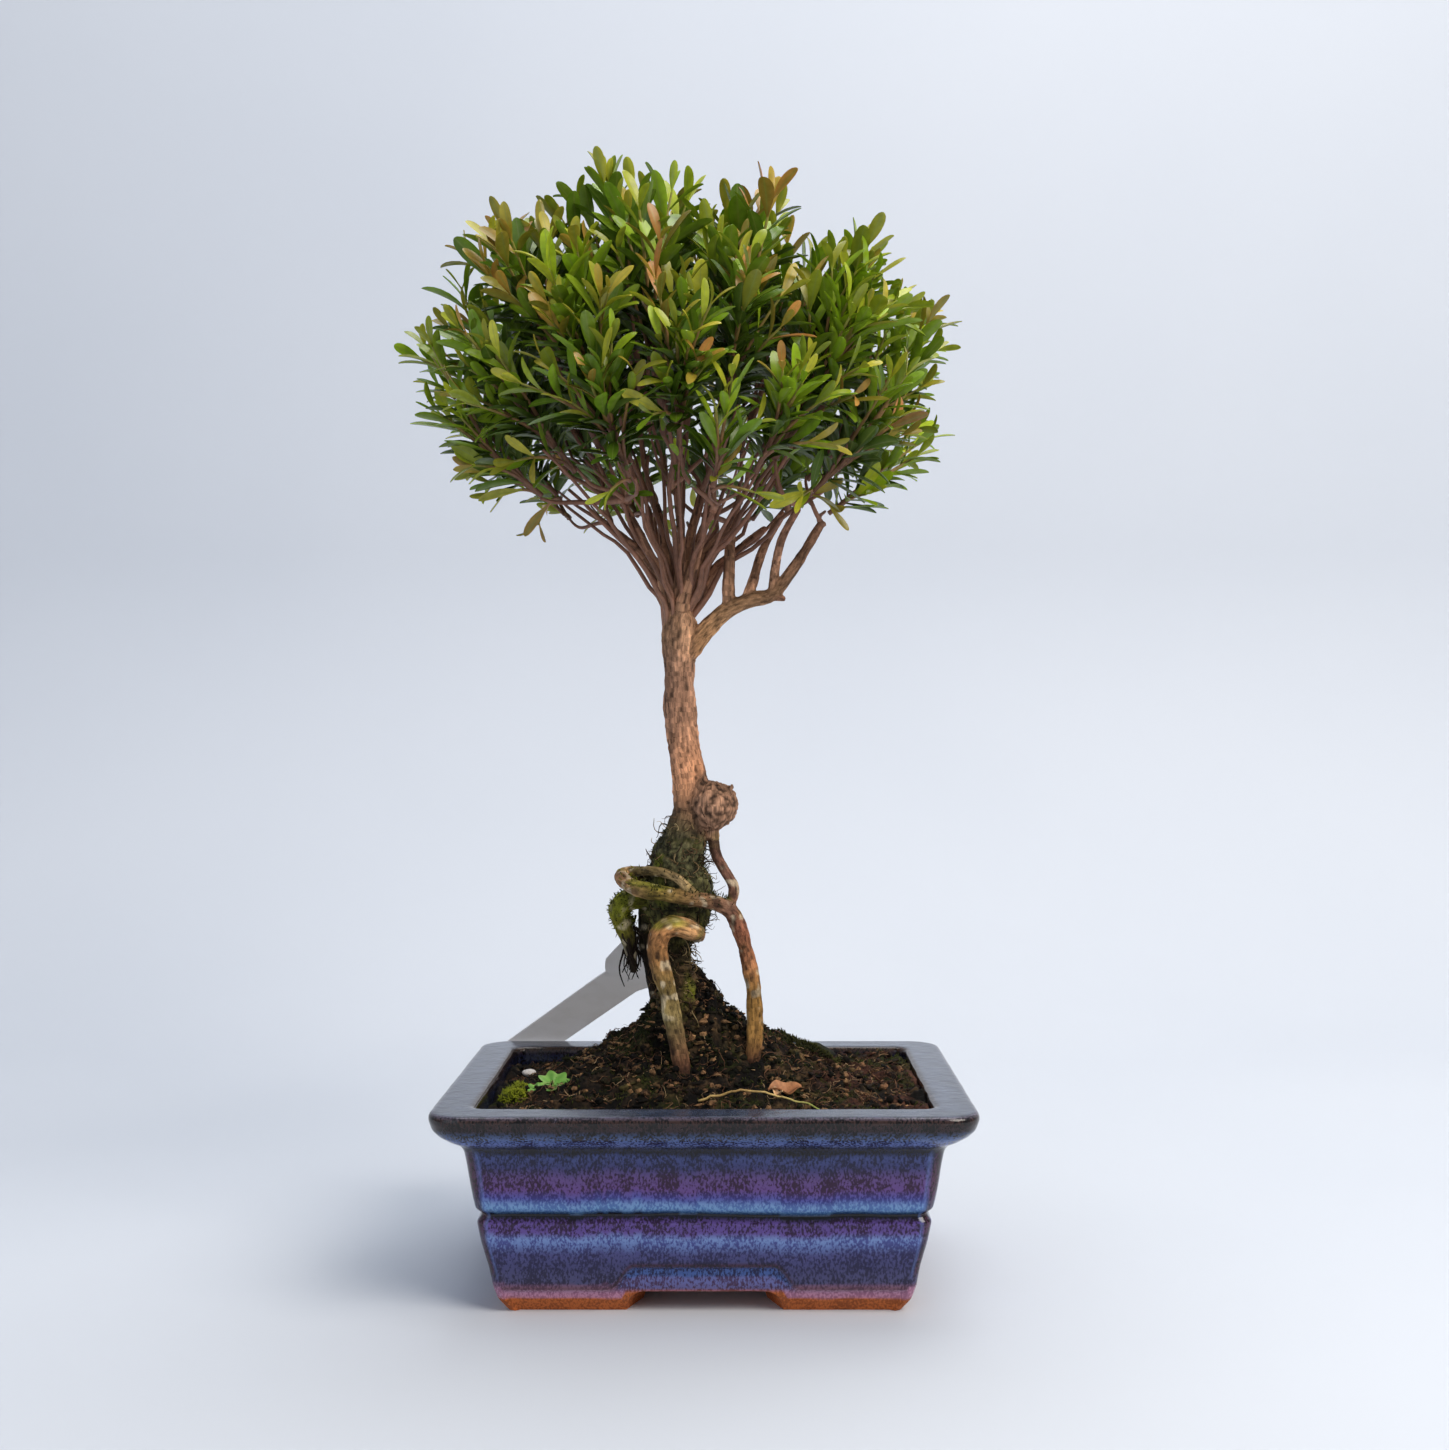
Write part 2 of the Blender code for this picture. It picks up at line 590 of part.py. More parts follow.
def cell_angle(ways):
    """Half the least angle between neighbouring twigs: the cone that each may fill."""
    least = min(a.angle(b) for k, a in enumerate(ways) for b in ways[k + 1:])
    return least / 2


def make_spray(number, fork, way, cell, leaf_green):
    """A leafy twig: a stem with crossed pairs of leaves, all inside its own cone."""
    side = way.orthogonal().normalized()
    axes = (side, way.cross(side))
    start = TWIG_REACH + GAP
    reach = max(crown_reach(fork, way), TWIG_REACH + LEAF_LENGTH)
    top = reach - LEAF_LENGTH * cos(LEAF_RISE)
    half = STEM_WIDTH / 2
    corners = ((1, -1), (1, 1), (-1, 1), (-1, -1))

    def ring(distance, width):
        return [fork + way * distance + axes[0] * a * width + axes[1] * b * width for a, b in corners]

    rings = [ring(start, half)]
    first = start + LEAF_BASE
    leaf_spans = {}
    span = top - LEAF_BASE - first
    pairs = min(LEAF_PAIRS, 1 + int(span / PAIR_SPACING))
    for pair in range(pairs):
        foot = first + span * pair / max(pairs - 1, 1)
        leaf_spans[len(rings)] = (pair, foot)
        rings.append(ring(foot, half))
        rings.append(ring(foot + LEAF_BASE, half))
    vertices = [point for four in rings for point in four]
    faces = [(3, 2, 1, 0)]
    for k in range(len(rings) - 1):
        for i in range(4):
            j = (i + 1) % 4
            quad = (4 * k + i, 4 * k + j, 4 * k + 4 + j, 4 * k + 4 + i)
            bears = k in leaf_spans and i % 2 == leaf_spans[k][0] % 2
            if bears:
                foot = leaf_spans[k][1]
                add_leaf(vertices, faces, quad, way, (axes[0], axes[1], -axes[0], -axes[1])[i],
                         (foot * tan(cell) - CELL_GAP) / sin(LEAF_RISE))
            else:
                faces.append(quad)
    last = 4 * (len(rings) - 1)
    vertices.append(fork + way * (top + TIP_LENGTH))
    faces.extend((last + i, last + (i + 1) % 4, len(vertices) - 1) for i in range(4))
    piece("leaf_spray_%02d" % number, vertices, faces, leaf_green, sharp=radians(20))


def add_leaf(vertices, faces, quad, way, outward, room):
    """Draw a leaf out of one face of the stem: a flat diamond that ends in a point."""
    length = min(LEAF_LENGTH, room)
    along = (way * cos(LEAF_RISE) + outward * sin(LEAF_RISE)).normalized()
    across = way.cross(outward).normalized()
    thick = along.cross(across)
    foot = sum((vertices[v] for v in quad), Vector()) / 4
    width = LEAF_WIDTH * min(1.0, length / (0.7 * LEAF_LENGTH))
    base = len(vertices)
    for corner in quad:
        offset = vertices[corner] - foot
        a = 1 if offset.dot(across) > 0 else -1
        b = 1 if offset.dot(thick) > 0 else -1
        vertices.append(foot + along * length * LEAF_WIDEST + across * a * width / 2
                        + thick * b * LEAF_THICKNESS / 2)
    vertices.append(foot + along * length)
    for i in range(4):
        j = (i + 1) % 4
        faces.append((quad[i], quad[j], base + j, base + i))
        faces.append((base + i, base + j, base + 4))


# ---- Label, moss and what lies on the soil ------------------------------------------
def ribbon(path, widths, across, thickness):
    """A flat strip along points, with a width at each, across a given direction."""
    rings = []
    for k, point in enumerate(path):
        ahead = (path[min(k + 1, len(path) - 1)] - path[max(k - 1, 0)]).normalized()
        side = (across - ahead * across.dot(ahead)).normalized()
        up = side.cross(ahead)
        rings.append([point + side * a * widths[k] / 2 + up * b * thickness / 2
                      for a, b in ((1, 1), (-1, 1), (-1, -1), (1, -1))])
    return loft(rings)


def make_label():
    """A blank plastic plant label: its creased head leans on the roots, its tail lies over the back rim."""
    rim = Vector((POT_X + LABEL_X, RIM_WIDTH / 2, POT_HEIGHT + LABEL_OVER_RIM))
    crease = in_pot(LABEL_CREASE)
    head = in_pot(LABEL_TOP)
    run = (rim - crease).normalized()
    path = [head, crease.lerp(head, 0.25), crease, crease.lerp(rim, 0.12)]
    path.extend(crease.lerp(rim, share) for share in (0.4, 0.7, 1.0))
    path.append(rim + run * LABEL_TAIL)
    widths = [LABEL_HEAD * 0.8, LABEL_HEAD, LABEL_HEAD] + [LABEL_WIDTH] * (len(path) - 3)
    plastic = finish("label_plastic", (0.50, 0.49, 0.50), 0.45)
    piece("plant_label", *ribbon(path, widths, Vector((1, 0, 0)), LABEL_THICKNESS), plastic)


def rest(ground, x, y):
    """The point of the soil's surface under a place."""
    high = POT_HEIGHT + MOUND_HEIGHT + NECK_HEIGHT + PAST
    hit = ground.ray_cast(Vector((x, y, high)), Vector((0, 0, -1)))
    return hit[0]


def make_cushion(name, ground, x, y, size, rise, colour):
    """A low cushion of moss whose underside follows the soil."""
    half_x, half_y = size
    rings = []
    for share, lift in ((0.0, 0), (0.55, 0), (1.0, 0), (0.9, 0.55), (0.5, 0.9), (0.2, 1.0)):
        ring = []
        for k in range(10):
            width = max(share, 0.15)
            at = rest(ground, x + half_x * width * cos(k * pi / 5), y + half_y * width * sin(k * pi / 5))
            ring.append(at + Vector((0, 0, LIFT + rise * lift)))
        rings.append(ring)
    piece(name, *loft(rings), finish(name + "_green", colour, 0.95), sharp=radians(60))


def make_pebble(ground, x, y):
    """A small white pebble."""
    at = rest(ground, x, y) + Vector((0, 0, LIFT + PEBBLE_RADIUS * 0.8))
    rings = []
    for k in range(1, 6):
        level = pi * k / 6
        rings.append([at + Vector((1.3 * sin(level) * cos(i * pi / 4), sin(level) * sin(i * pi / 4),
                                   -0.75 * cos(level))) * PEBBLE_RADIUS for i in range(8)])
    piece("pebble", *loft(rings), finish("white_stone", (0.75, 0.73, 0.70), 0.5))


def make_dry_leaf(ground, x, y):
    """A fallen leaf, curled up at its two edges."""
    at = rest(ground, x, y) + Vector((0, 0, LIFT + 2 * DRY_LEAF_THICKNESS))
    rings = []
    for step in range(7):
        t = step / 6
        half = DRY_LEAF_WIDTH / 2 * sin(pi * (0.06 + 0.88 * t)) ** 0.8
        run = (t - 0.5) * DRY_LEAF_LENGTH
        section = []
        for across in (-1, -0.5, 0, 0.5, 1):
            section.append(Vector((run, across * half, DRY_LEAF_CURL * across ** 2 * half)))
        low = [v - Vector((0, 0, DRY_LEAF_THICKNESS)) for v in section]
        rings.append([at + v for v in section + low[::-1]])
    brown = finish("dry_leaf_brown", (0.36, 0.19, 0.10), 0.7)
    piece("dry_leaf", *loft(rings), brown)


def make_stalk(ground, start_x, end_x, y):
    """A dry stalk that arches over the fallen leaf."""
    path = []
    for step in range(9):
        t = step / 8
        x = start_x + (end_x - start_x) * t
        run_y = y - STALK_BOW * t * t
        height = rest(ground, x, run_y).z + LIFT + STALK_RADIUS + STALK_ARCH * sin(pi * t) ** 0.8
        path.append((Vector((x, run_y, height)), STALK_RADIUS))
    straw = finish("straw", (0.55, 0.42, 0.22), 0.6)
    piece("dry_stalk", *tube(path, TWIG_SIDES), straw)


def make_weed(ground, x, y):
    """A seedling with one lobed leaf on a short stem."""
    foot = rest(ground, x, y) + Vector((0, 0, LIFT))
    top = foot + Vector((0.001, -0.002, WEED_STEM))
    half = WEED_WIDTH / 2
    around = [Vector((cos(k * pi / 3), sin(k * pi / 3), 0)) for k in range(6)]
    rings = [[foot + way * 0.0004 for way in around], [top + way * 0.0005 for way in around]]
    for lift in (0, WEED_THICKNESS):
        ring = []
        for way, lobe in zip(around, WEED_LOBES):
            out = Vector((way.x * lobe, way.y * lobe * 0.6, 0.15)) * half
            ring.append(top + out + Vector((0, 0, 0.0003 + lift)))
        rings.append(ring)
    piece("weed_seedling", *loft(rings), finish("weed_green", (0.20, 0.34, 0.09), 0.5), sharp=radians(30))


def make_ground_cover(soil):
    """Everything that lies or grows on the soil."""
    shape = BVHTree.FromObject(soil, bpy.context.evaluated_depsgraph_get())
    left = POT_X - RIM_LENGTH / 2 + RIM_LAND
    front = RIM_LAND - RIM_WIDTH / 2
    make_pebble(shape, left + PEBBLE_PLACE[0], PEBBLE_PLACE[1])
    make_weed(shape, left + WEED_PLACE[0], WEED_PLACE[1])
    make_dry_leaf(shape, POT_X + DRY_LEAF_PLACE[0], front + DRY_LEAF_PLACE[1])
    make_stalk(shape, POT_X + STALK_ENDS[0], POT_X + STALK_ENDS[1], front + STALK_FROM_FRONT)
    make_cushion("moss_cushion_left", shape, left + LEFT_MOSS[0], front + LEFT_MOSS[1],
                 LEFT_MOSS_SIZE, MOSS_RISE, (0.20, 0.24, 0.04))
    make_cushion("moss_cushion_right", shape, POT_X + RIGHT_MOSS[0], RIGHT_MOSS[1],
                 RIGHT_MOSS_SIZE, MOSS_RISE, (0.10, 0.13, 0.04))


def main():
    clear_scene()
    fork = in_pot(FORK)
    ways = spread(SPRAY_COUNT, SPRAY_LEAST, SPRAY_TURN)
    roots = root_paths()
    make_pot()
    for side in (-1, 1):
        make_screen(side)
    soil = make_soil(roots)
    make_wood(roots, fork, ways)
    cell = cell_angle(ways)
    leaf_green = finish("leaf_green", (0.06, 0.17, 0.025), 0.4)
    for number, way in enumerate(ways, 1):
        make_spray(number, fork, way, cell, leaf_green)
    make_label()
    make_ground_cover(soil)


main()
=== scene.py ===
"""Looks of an exposed-root bonsai in a glazed stoneware pot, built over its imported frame.

Metres, +Z up, the pot's long front side faces -Y. Tree points are in millimetres: x and y
from the pot's centre and z above its rim. Every new piece is a surface worked out as whole
arrays, takes its place from the frame's boxes, and rides on the one body, "root".
"""

from math import cos, pi, radians, sin, sqrt

import bpy
import numpy as np
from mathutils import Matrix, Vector


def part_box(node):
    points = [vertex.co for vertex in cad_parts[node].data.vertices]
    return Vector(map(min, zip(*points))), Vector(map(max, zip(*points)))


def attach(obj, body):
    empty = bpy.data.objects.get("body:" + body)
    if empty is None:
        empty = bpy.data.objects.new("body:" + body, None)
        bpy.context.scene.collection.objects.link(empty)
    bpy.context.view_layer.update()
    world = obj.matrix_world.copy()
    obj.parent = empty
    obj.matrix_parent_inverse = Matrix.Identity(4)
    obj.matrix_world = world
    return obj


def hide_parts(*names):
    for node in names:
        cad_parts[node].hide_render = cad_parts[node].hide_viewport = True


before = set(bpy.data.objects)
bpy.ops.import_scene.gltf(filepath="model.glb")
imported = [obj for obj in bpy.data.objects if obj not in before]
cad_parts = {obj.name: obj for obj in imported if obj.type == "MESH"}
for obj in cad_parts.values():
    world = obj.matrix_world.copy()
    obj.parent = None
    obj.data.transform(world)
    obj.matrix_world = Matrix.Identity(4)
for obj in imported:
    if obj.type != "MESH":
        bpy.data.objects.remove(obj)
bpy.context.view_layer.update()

MM = 0.001
UP = np.array((0.0, 0.0, 1.0))
POT_LOW, POT_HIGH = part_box("pot")
POT_X = (POT_LOW.x + POT_HIGH.x) / 2
RIM_LENGTH = POT_HIGH.x - POT_LOW.x
RIM_WIDTH = POT_HIGH.y - POT_LOW.y
POT_HEIGHT = POT_HIGH.z
SOIL_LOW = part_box("soil")[0].z
SPRAYS = sorted(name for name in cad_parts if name.startswith("leaf_spray"))

# ---- Pot, in metres ----------------------------------------------------------------
RIM_LAND = 0.0130
RIM_OVERHANG = 0.0098
RIM_FACE = 0.0104
COVE_HEIGHT = 0.0030
CORNER_RADIUS = 0.0100
CORNER_FALL = 0.45
LEAST_CORNER = 0.0030
WALL = 0.0047
TIER_HEIGHT = 0.0313
GROOVE_INSET = RIM_OVERHANG + 0.0032
SKIRT_INSET = GROOVE_INSET + 0.0042
SKIRT_HEIGHT = 0.0096
BAND_INSET = SKIRT_INSET + 0.0016
BAND_HEIGHT = 0.0044
GROUND_INSET = BAND_INSET + 0.0028
FOOT_HEIGHT = 0.0068
FOOT_LENGTH = 0.0360
FOOT_DEPTH = 0.0238
FOOT_WIDTH = 0.0120
ARCH_SLOPE = 0.0068
RECESS_HEIGHT = 0.0072
POT_FLOOR = 0.0125
DRAIN_RADIUS = 0.0060
DRAIN_SPACING = 0.0700
BODY_TOP = POT_HEIGHT - RIM_FACE - COVE_HEIGHT
FACE_LOW = POT_HEIGHT - RIM_FACE
APRON_HEIGHT = 0.0150  # the moulded edge over each arch
APRON_PAST = 0.0030  # how far it goes past the arch at each end
APRON_DEPTH = 0.0010
SIDE_COLUMNS = (150, 104)
CORNER_COLUMNS = 10
ROW_STEP = 0.00062
UNDER_ROWS = 5  # rows of the skin underneath, before its profile
INNER_ROWS = 8  # rows down the inside, after it

# ---- Soil --------------------------------------------------------------------------
SOIL_LEFT = 0.0065
SOIL_RIGHT = 0.0018
MOUND_HEIGHT = 0.0245
MOUND_X = POT_X - 0.0060
MOUND_Y = 0.0040
MOUND_LENGTH = 0.0270
MOUND_DEPTH = 0.0165
NECK_HEIGHT = 0.0130
NECK_SPREAD = 0.0080
SOIL_HALF_X = RIM_LENGTH / 2 - RIM_LAND - 0.0004
SOIL_HALF_Y = RIM_WIDTH / 2 - RIM_LAND - 0.0004
SOIL_CORNER = 0.0065
CRUMB_COUNT = 2900
MOUND_CRUMBS = 1400  # how many of them lie on the mound
FIBRE_COUNT = 1900
TUFT = 8  # leaflets in a tuft of moss

# ---- Tree: x, y, z and radius, then the bark's colours from one end to the other -----
ROOT_CORE = ((
    (-8.8, 1, -8, 7), (-8.8, 1, 14, 8), (-9, 1, 23, 7.2), (-9.6, 1, 31, 5.4), (-10.5, 1, 37, 4.6),
    (-10.3, 1, 43, 5.4), (-9.5, 1, 50, 9.4), (-9.3, 1, 60, 10.8), (-9.8, 0.5, 69, 8.4),
    (-7.5, 0, 76.4, 7.1), (-5.3, 0, 86, 5.2),
), ("#241c14", "#3a3418", "#3b2c1b", "#33281a", "#38331d", "#45421f", "#42402a", "#3c3a26", "#574330"))
TRUNK = ((
    (-4.9, 0, 82, 5.2), (-5.4, 0, 96, 5.7), (-7.8, 0, 109, 5.2), (-8.8, 0, 122, 5),
    (-9.4, 0, 135, 5.1), (-9, 0, 145, 5.6), (-8.6, 0, 150, 4.4), (-8.4, 0, 153, 2.0),
), ("#76583f", "#b07c5a", "#a87c60", "#a67c62", "#a67e60", "#a0785a", "#9a7254"))
BULB = ((1.6, -1, 80, 0.6), (1.6, -1, 88.1, 8.1), (1.6, -1, 96, 0.6))
WRAP_ROOT = ((
    (-16, 7, 64.5, 2.2), (-25, 4.5, 65, 2.4), (-27.6, -2, 64.3, 2.5), (-23.2, -8, 61.9, 2.5),
    (-18.2, -11, 60.8, 2.5), (-12, -12.2, 59.9, 2.4), (-4, -12, 58.3, 2.4), (3.5, -9, 56.8, 2.6),
    (8.5, -6, 53, 2.8), (11.6, -5.2, 44.5, 2.6), (14.1, -7, 34.7, 2.5), (15.4, -8.8, 24, 2.6),
    (15.4, -10.6, 13, 2.6), (14.5, -11.6, 3, 2.4), (14.2, -12, -7, 2.2),
), ("#4e3e24", "#7a5a38", "#96704e", "#8e6e4a", "#6e5e28", "#6e5630", "#6e5038", "#6e5040", "#86543e",
    "#8e5e40", "#9c743c", "#8c6838", "#5e382e", "#3c2620"))
UPPER_ROOT = ((
    (-25, 1.5, 65.5, 1.5), (-19.6, -6, 66.9, 1.6), (-13.5, -10.5, 66.6, 1.5), (-9, -12.3, 64.9, 1.4),
    (-6, -12.3, 62.2, 1.4), (-2.8, -11.3, 59.2, 1.3),
), ("#544824", "#74603c", "#98805a", "#7e6a3c"))
FRONT_ROOT = ((
    (-2.4, -5, 46.2, 2.9), (-6.2, -11, 49, 3.3), (-11, -13.5, 50.2, 3.4), (-14.6, -14, 47.9, 3.3),
    (-15.7, -14, 43, 3.2), (-13.8, -15, 35.3, 3.1), (-11.7, -15.5, 27, 3), (-10.1, -16, 18.5, 3),
    (-7.6, -17, 6, 2.7), (-6.2, -17.5, -6, 2.2),
), ("#6c4e34", "#a27a52", "#8e643e", "#7e5836", "#7c5834", "#7c683c", "#7c6c44", "#74503a", "#4a2e28"))
LOOP_ROOT = ((
    (-15, 0, 57, 3.4), (-23.5, -1, 57.5, 3.9), (-28, -1, 54, 3.7), (-26.9, 0, 48.7, 3.1),
    (-25.2, 1, 42, 2.3), (-23.9, 1.5, 33, 1.1),
), ("#5a5a1c", "#7c7c1c", "#74701c", "#38301a", "#241c14"))
BACK_ROOT = ((
    (-20, 2, 56, 2.7), (-20.5, 4, 44, 2.2), (-18.4, 5.5, 31, 2), (-16, 6, 18, 2), (-14.5, 6.5, -6, 1.7),
), ("#2c2218", "#2a2018", "#2a2018"))
THIN_ROOT = ((
    (1.6, -1, 84, 1.8), (2.6, -1.8, 73.1, 1.7), (5.8, -3, 66.6, 1.7), (8.7, -4, 61, 1.8), (7, -6.6, 54, 1.7),
), ("#3c2a20", "#664638", "#7c5848", "#704e38"))
RIGHT_BRANCH = ((
    (-8.6, 0, 135, 3.4), (-3.9, -1, 140.5, 3.2), (1.3, -2, 146.5, 2.9), (7.1, -3, 151.2, 2.8),
    (14, -3.8, 154.2, 2.4), (21.3, -4.5, 156, 2.2), (26.3, -5, 162, 1.9), (31, -5.5, 169, 1.7),
    (37, -6, 179, 1.4),
), ("#86603f", "#94704e", "#806046", "#6c4c3a"))
RIGHT_FORKS = (
    ((7.1, -3, 150.5, 2.2), (7.1, -2.5, 163.8, 1.9), (8.2, 0, 178, 1.5), (11, 4, 190, 1.2)),
    ((12.4, -3.6, 153.4, 1.9), (14.4, -2.6, 158.5, 1.7), (18.5, 4, 172, 1.4), (25, 9, 184, 1.2)),
    ((21.3, -4.4, 155.5, 1.7), (21.8, -6, 163, 1.5), (24, -13, 173, 1.3), (29, -19, 182, 1.2)),
    ((19.5, -4.4, 155.8, 1.7), (25.4, -5.4, 154.4, 0.9)),
)
LIMB_COLOURS = ("#a0785a", "#8e6850", "#7c5644")
BULB_COLOURS = ("#80604a", "#846450")
FORK = (-8, 0, 151.6)
LIMB_ROOT = (-8.8, 0, 141)
LIMB_COUNT = 9
LIMB_REACH = 0.0400
LIMB_LEAST = radians(42)
LIMB_TURN = radians(20)
LIMB_THICK = 0.0020
LIMB_THIN = 0.0011
TWIG_REACH = 0.0580
TWIG_THICK = 0.0010
WHIP_COUNT = 34
VOXEL = 0.00052
ROOTLET_COUNT = 760
HANGING_ROOTLETS = 46

# ---- Crown -------------------------------------------------------------------------
CROWN_LENGTH = 0.1840
CROWN_DEPTH = 0.1500
CROWN_TURN = radians(24)
CROWN_RISE = 0.2266
CROWN_UP = 0.0740
CROWN_DOWN = 0.0530
CROWN_X = -0.0055
SPRAY_LEAST = radians(33)
SPRAY_TURN = radians(8)
TWIG_COUNT = 270
TWIG_LEAST = radians(34)
PAIRS = 8
PAIR_SPACING = 0.0056
LEAF_LENGTH = 0.0174
LEAF_SLIMNESS = 0.27
LEAF_THICKNESS = 0.00035
LEAF_WIDEST = 0.64  # where along its length


# ---- Arrays ------------------------------------------------------------------------
def linear(code):
    """An sRGB hex colour as linear light."""
    srgb = np.array([int(code[k:k + 2], 16) for k in (1, 3, 5)]) / 255
    return np.where(srgb <= 0.04045, srgb / 12.92, ((srgb + 0.055) / 1.055) ** 2.4)


def colour(code):
    """A hex colour for a shader's socket."""
    return (*linear(code).tolist(), 1.0)


def ramp(codes, share):
    """Linear colours blended evenly along a list of hex colours, at shares from 0 to 1."""
    stops = np.array([linear(code) for code in codes])
    at = np.clip(share, 0, 1) * (len(codes) - 1)
    return np.stack([np.interp(at, np.arange(len(codes)), stops[:, k]) for k in range(3)], -1)


def toward(tint, code, share):
    """Colours moved towards a hex colour, by a share for each."""
    return tint + (linear(code) - tint) * share[..., None]


def unit(vectors):
    """Vectors brought to length one."""
    return vectors / np.maximum(np.linalg.norm(vectors, axis=-1, keepdims=True), 1e-12)


def smooth(value, low, high):
    """0 below low, 1 above high, with a smooth rise between."""
    t = np.clip((value - low) / (high - low), 0, 1)
    return t * t * (3 - 2 * t)


def noise(points, size, seed=0):
    """Smooth noise from -1 to 1: hashed values at the corners of cubes, blended inside each cube."""
    at = np.asarray(points, float) / size + 7.31 * seed + 0.5
    cell = np.floor(at).astype(np.int64)
    part = at - cell
    part = part * part * (3 - 2 * part)
    total = np.zeros(at.shape[:-1])
    for corner in range(8):
        step = np.array((corner & 1, corner >> 1 & 1, corner >> 2 & 1))
        key = ((cell + step) * np.array((73856093, 19349663, 83492791))).sum(-1) + seed * 374761393
        key = ((key ^ (key >> 13)) * 1274126177) & 0x7FFFFFFF
        key = ((key ^ (key >> 15)) * 668265263) & 0x7FFFFFFF
        weight = np.where(step == 1, part, 1 - part).prod(-1)
        total += weight * (key / 0x3FFFFFFF - 1)
    return total


def layered(points, size, seed=0, count=3):
    """Noise at a size and at each half of it, each layer half as strong."""
    return sum(noise(points, size / 2 ** k, seed + k) / 2 ** k for k in range(count))


def in_pot(points):
    """Tree points, in millimetres from the pot's centre and its rim, as world metres."""
    return np.asarray(points, float)[..., :3] * MM + np.array((POT_X, 0, POT_HEIGHT))


def catmull(rows, per_span):
    """World points and radii on a Catmull-Rom curve through rows of x, y, z and radius."""
    keys = np.column_stack([in_pot(rows), np.array(rows, float)[:, 3] * MM])
    keys = np.vstack([keys[0], keys, keys[-1]])
    t = np.linspace(0, 1, per_span, endpoint=False)[None, :, None]
    a, b, c, d = (keys[k:len(keys) - 3 + k, None] for k in range(4))
    curve = 0.5 * (2 * b + (c - a) * t + (2 * a - 5 * b + 4 * c - d) * t ** 2
                   + (3 * b - a - 3 * c + d) * t ** 3)
    curve = np.vstack([curve.reshape(-1, 4), keys[-1]])
    return curve[:, :3], curve[:, 3]


def bezier(start, bend, end, share):
    """Points on quadratic curves, one curve for each row, at shares along them."""
    t = share[..., None]
    return start[:, None] * (1 - t) ** 2 + bend[:, None] * 2 * t * (1 - t) + end[:, None] * t ** 2


def spread(count, least, turn=0.0):
    """Directions spread evenly over the cap of the sky above a rise, by the golden angle."""
    k = np.arange(count)
    rise = sin(least) + (1 - sin(least)) * (k + 0.5) / count
    level = np.sqrt(1 - rise ** 2)
    around = k * pi * (3 - sqrt(5)) + turn
    return np.column_stack([level * np.cos(around), level * np.sin(around), rise])


def frames(paths):
    """Directions ahead, aside and upward on paths, carried along each path without twist."""
    ahead = unit(np.gradient(paths, axis=1))
    aside = np.empty_like(paths)
    level = np.where(np.abs(ahead[:, 0, 2:]) > 0.9, np.array((1.0, 0, 0)), UP)
    last = np.cross(ahead[:, 0], level)
    for station in range(paths.shape[1]):
        last = unit(last - ahead[:, station] * (ahead[:, station] * last).sum(-1, keepdims=True))
        aside[:, station] = last
    return ahead, aside, np.cross(ahead, aside)


# ---- Meshes ------------------------------------------------------------------------
def hold(mesh, key, array):
    """Keep a value, or a vector where there are three for each point, at a mesh's points."""
    vector = np.size(array) == 3 * len(mesh.vertices)
    kept = mesh.attributes.new(key, "FLOAT_VECTOR" if vector else "FLOAT", "POINT")
    kept.data.foreach_set("vector" if vector else "value", np.asarray(array, np.float32).ravel())


def hold_colour(mesh, key, tints):
    """Keep linear colours, with full opacity, at a mesh's points."""
    kept = mesh.attributes.new(key, "FLOAT_COLOR", "POINT")
    kept.data.foreach_set("color", np.column_stack([tints, np.ones(len(tints))]).astype(np.float32).ravel())


def make_object(name, points, faces, materials, colours=None, values=None, sharp=None):
    """A mesh object from arrays of points and faces, with what its shader reads at each point.

    faces is a list of (corner indices, material index), each with polygons of one size.
    """
    points = np.asarray(points, float).reshape(-1, 3)
    corners = np.concatenate([f.ravel() for f, _ in faces]).astype(np.int32)
    sizes = np.concatenate([np.full(len(f), f.shape[1]) for f, _ in faces])
    mesh = bpy.data.meshes.new(name)
    mesh.vertices.add(len(points))
    mesh.vertices.foreach_set("co", points.astype(np.float32).ravel())
    mesh.loops.add(len(corners))
    mesh.loops.foreach_set("vertex_index", corners)
    mesh.polygons.add(len(sizes))
    mesh.polygons.foreach_set("loop_start", np.r_[0, np.cumsum(sizes)[:-1]].astype(np.int32))
    slots = np.concatenate([np.full(len(f), slot) for f, slot in faces])
    mesh.polygons.foreach_set("material_index", slots.astype(np.int32))
    mesh.update(calc_edges=True)
    mesh.validate()
    for key, array in (colours or {}).items():
        hold_colour(mesh, key, np.broadcast_to(array, points.shape))
    for key, array in (values or {}).items():
        hold(mesh, key, array)
    mesh.shade_smooth()
    if sharp:
        mesh.set_sharp_from_angle(angle=radians(sharp))
    for material in materials:
        mesh.materials.append(material)
    made = bpy.data.objects.new(name, mesh)
    bpy.context.scene.collection.objects.link(made)
    return made


def read(items, key, width, kind=np.float32):
    """What each of a mesh's items says under a key, as rows."""
    array = np.empty(len(items) * width, kind)
    items.foreach_get(key, array)
    return array.reshape(-1, width)


def grid_faces(rows, columns, closed):
    """Quads of a grid whose columns may close on themselves."""
    across = columns if closed else columns - 1
    row, column = np.meshgrid(np.arange(rows - 1), np.arange(across), indexing="ij")
    beside = (column + 1) % columns
    corners = (row * columns + column, row * columns + beside, (row + 1) * columns + beside,
               (row + 1) * columns + column)
    return np.stack(corners, -1).reshape(-1, 4)


def capped(rings, sides, turned=False):
    """Faces of a closed tube of rings: its walls, then both ends; turned for rings that run the other way."""
    last = rings * sides
    ends = np.array([np.arange(sides)[::-1], np.arange(last - sides, last)])
    return [f[:, ::-1] if turned else f for f in (grid_faces(rings, sides, True), ends)]


def repeat_faces(faces, count, size):
    """The same faces for each of a number of copies that have size points each."""
    return [(f[None] + (np.arange(count) * size)[:, None, None]).reshape(-1, f.shape[1]) for f in faces]


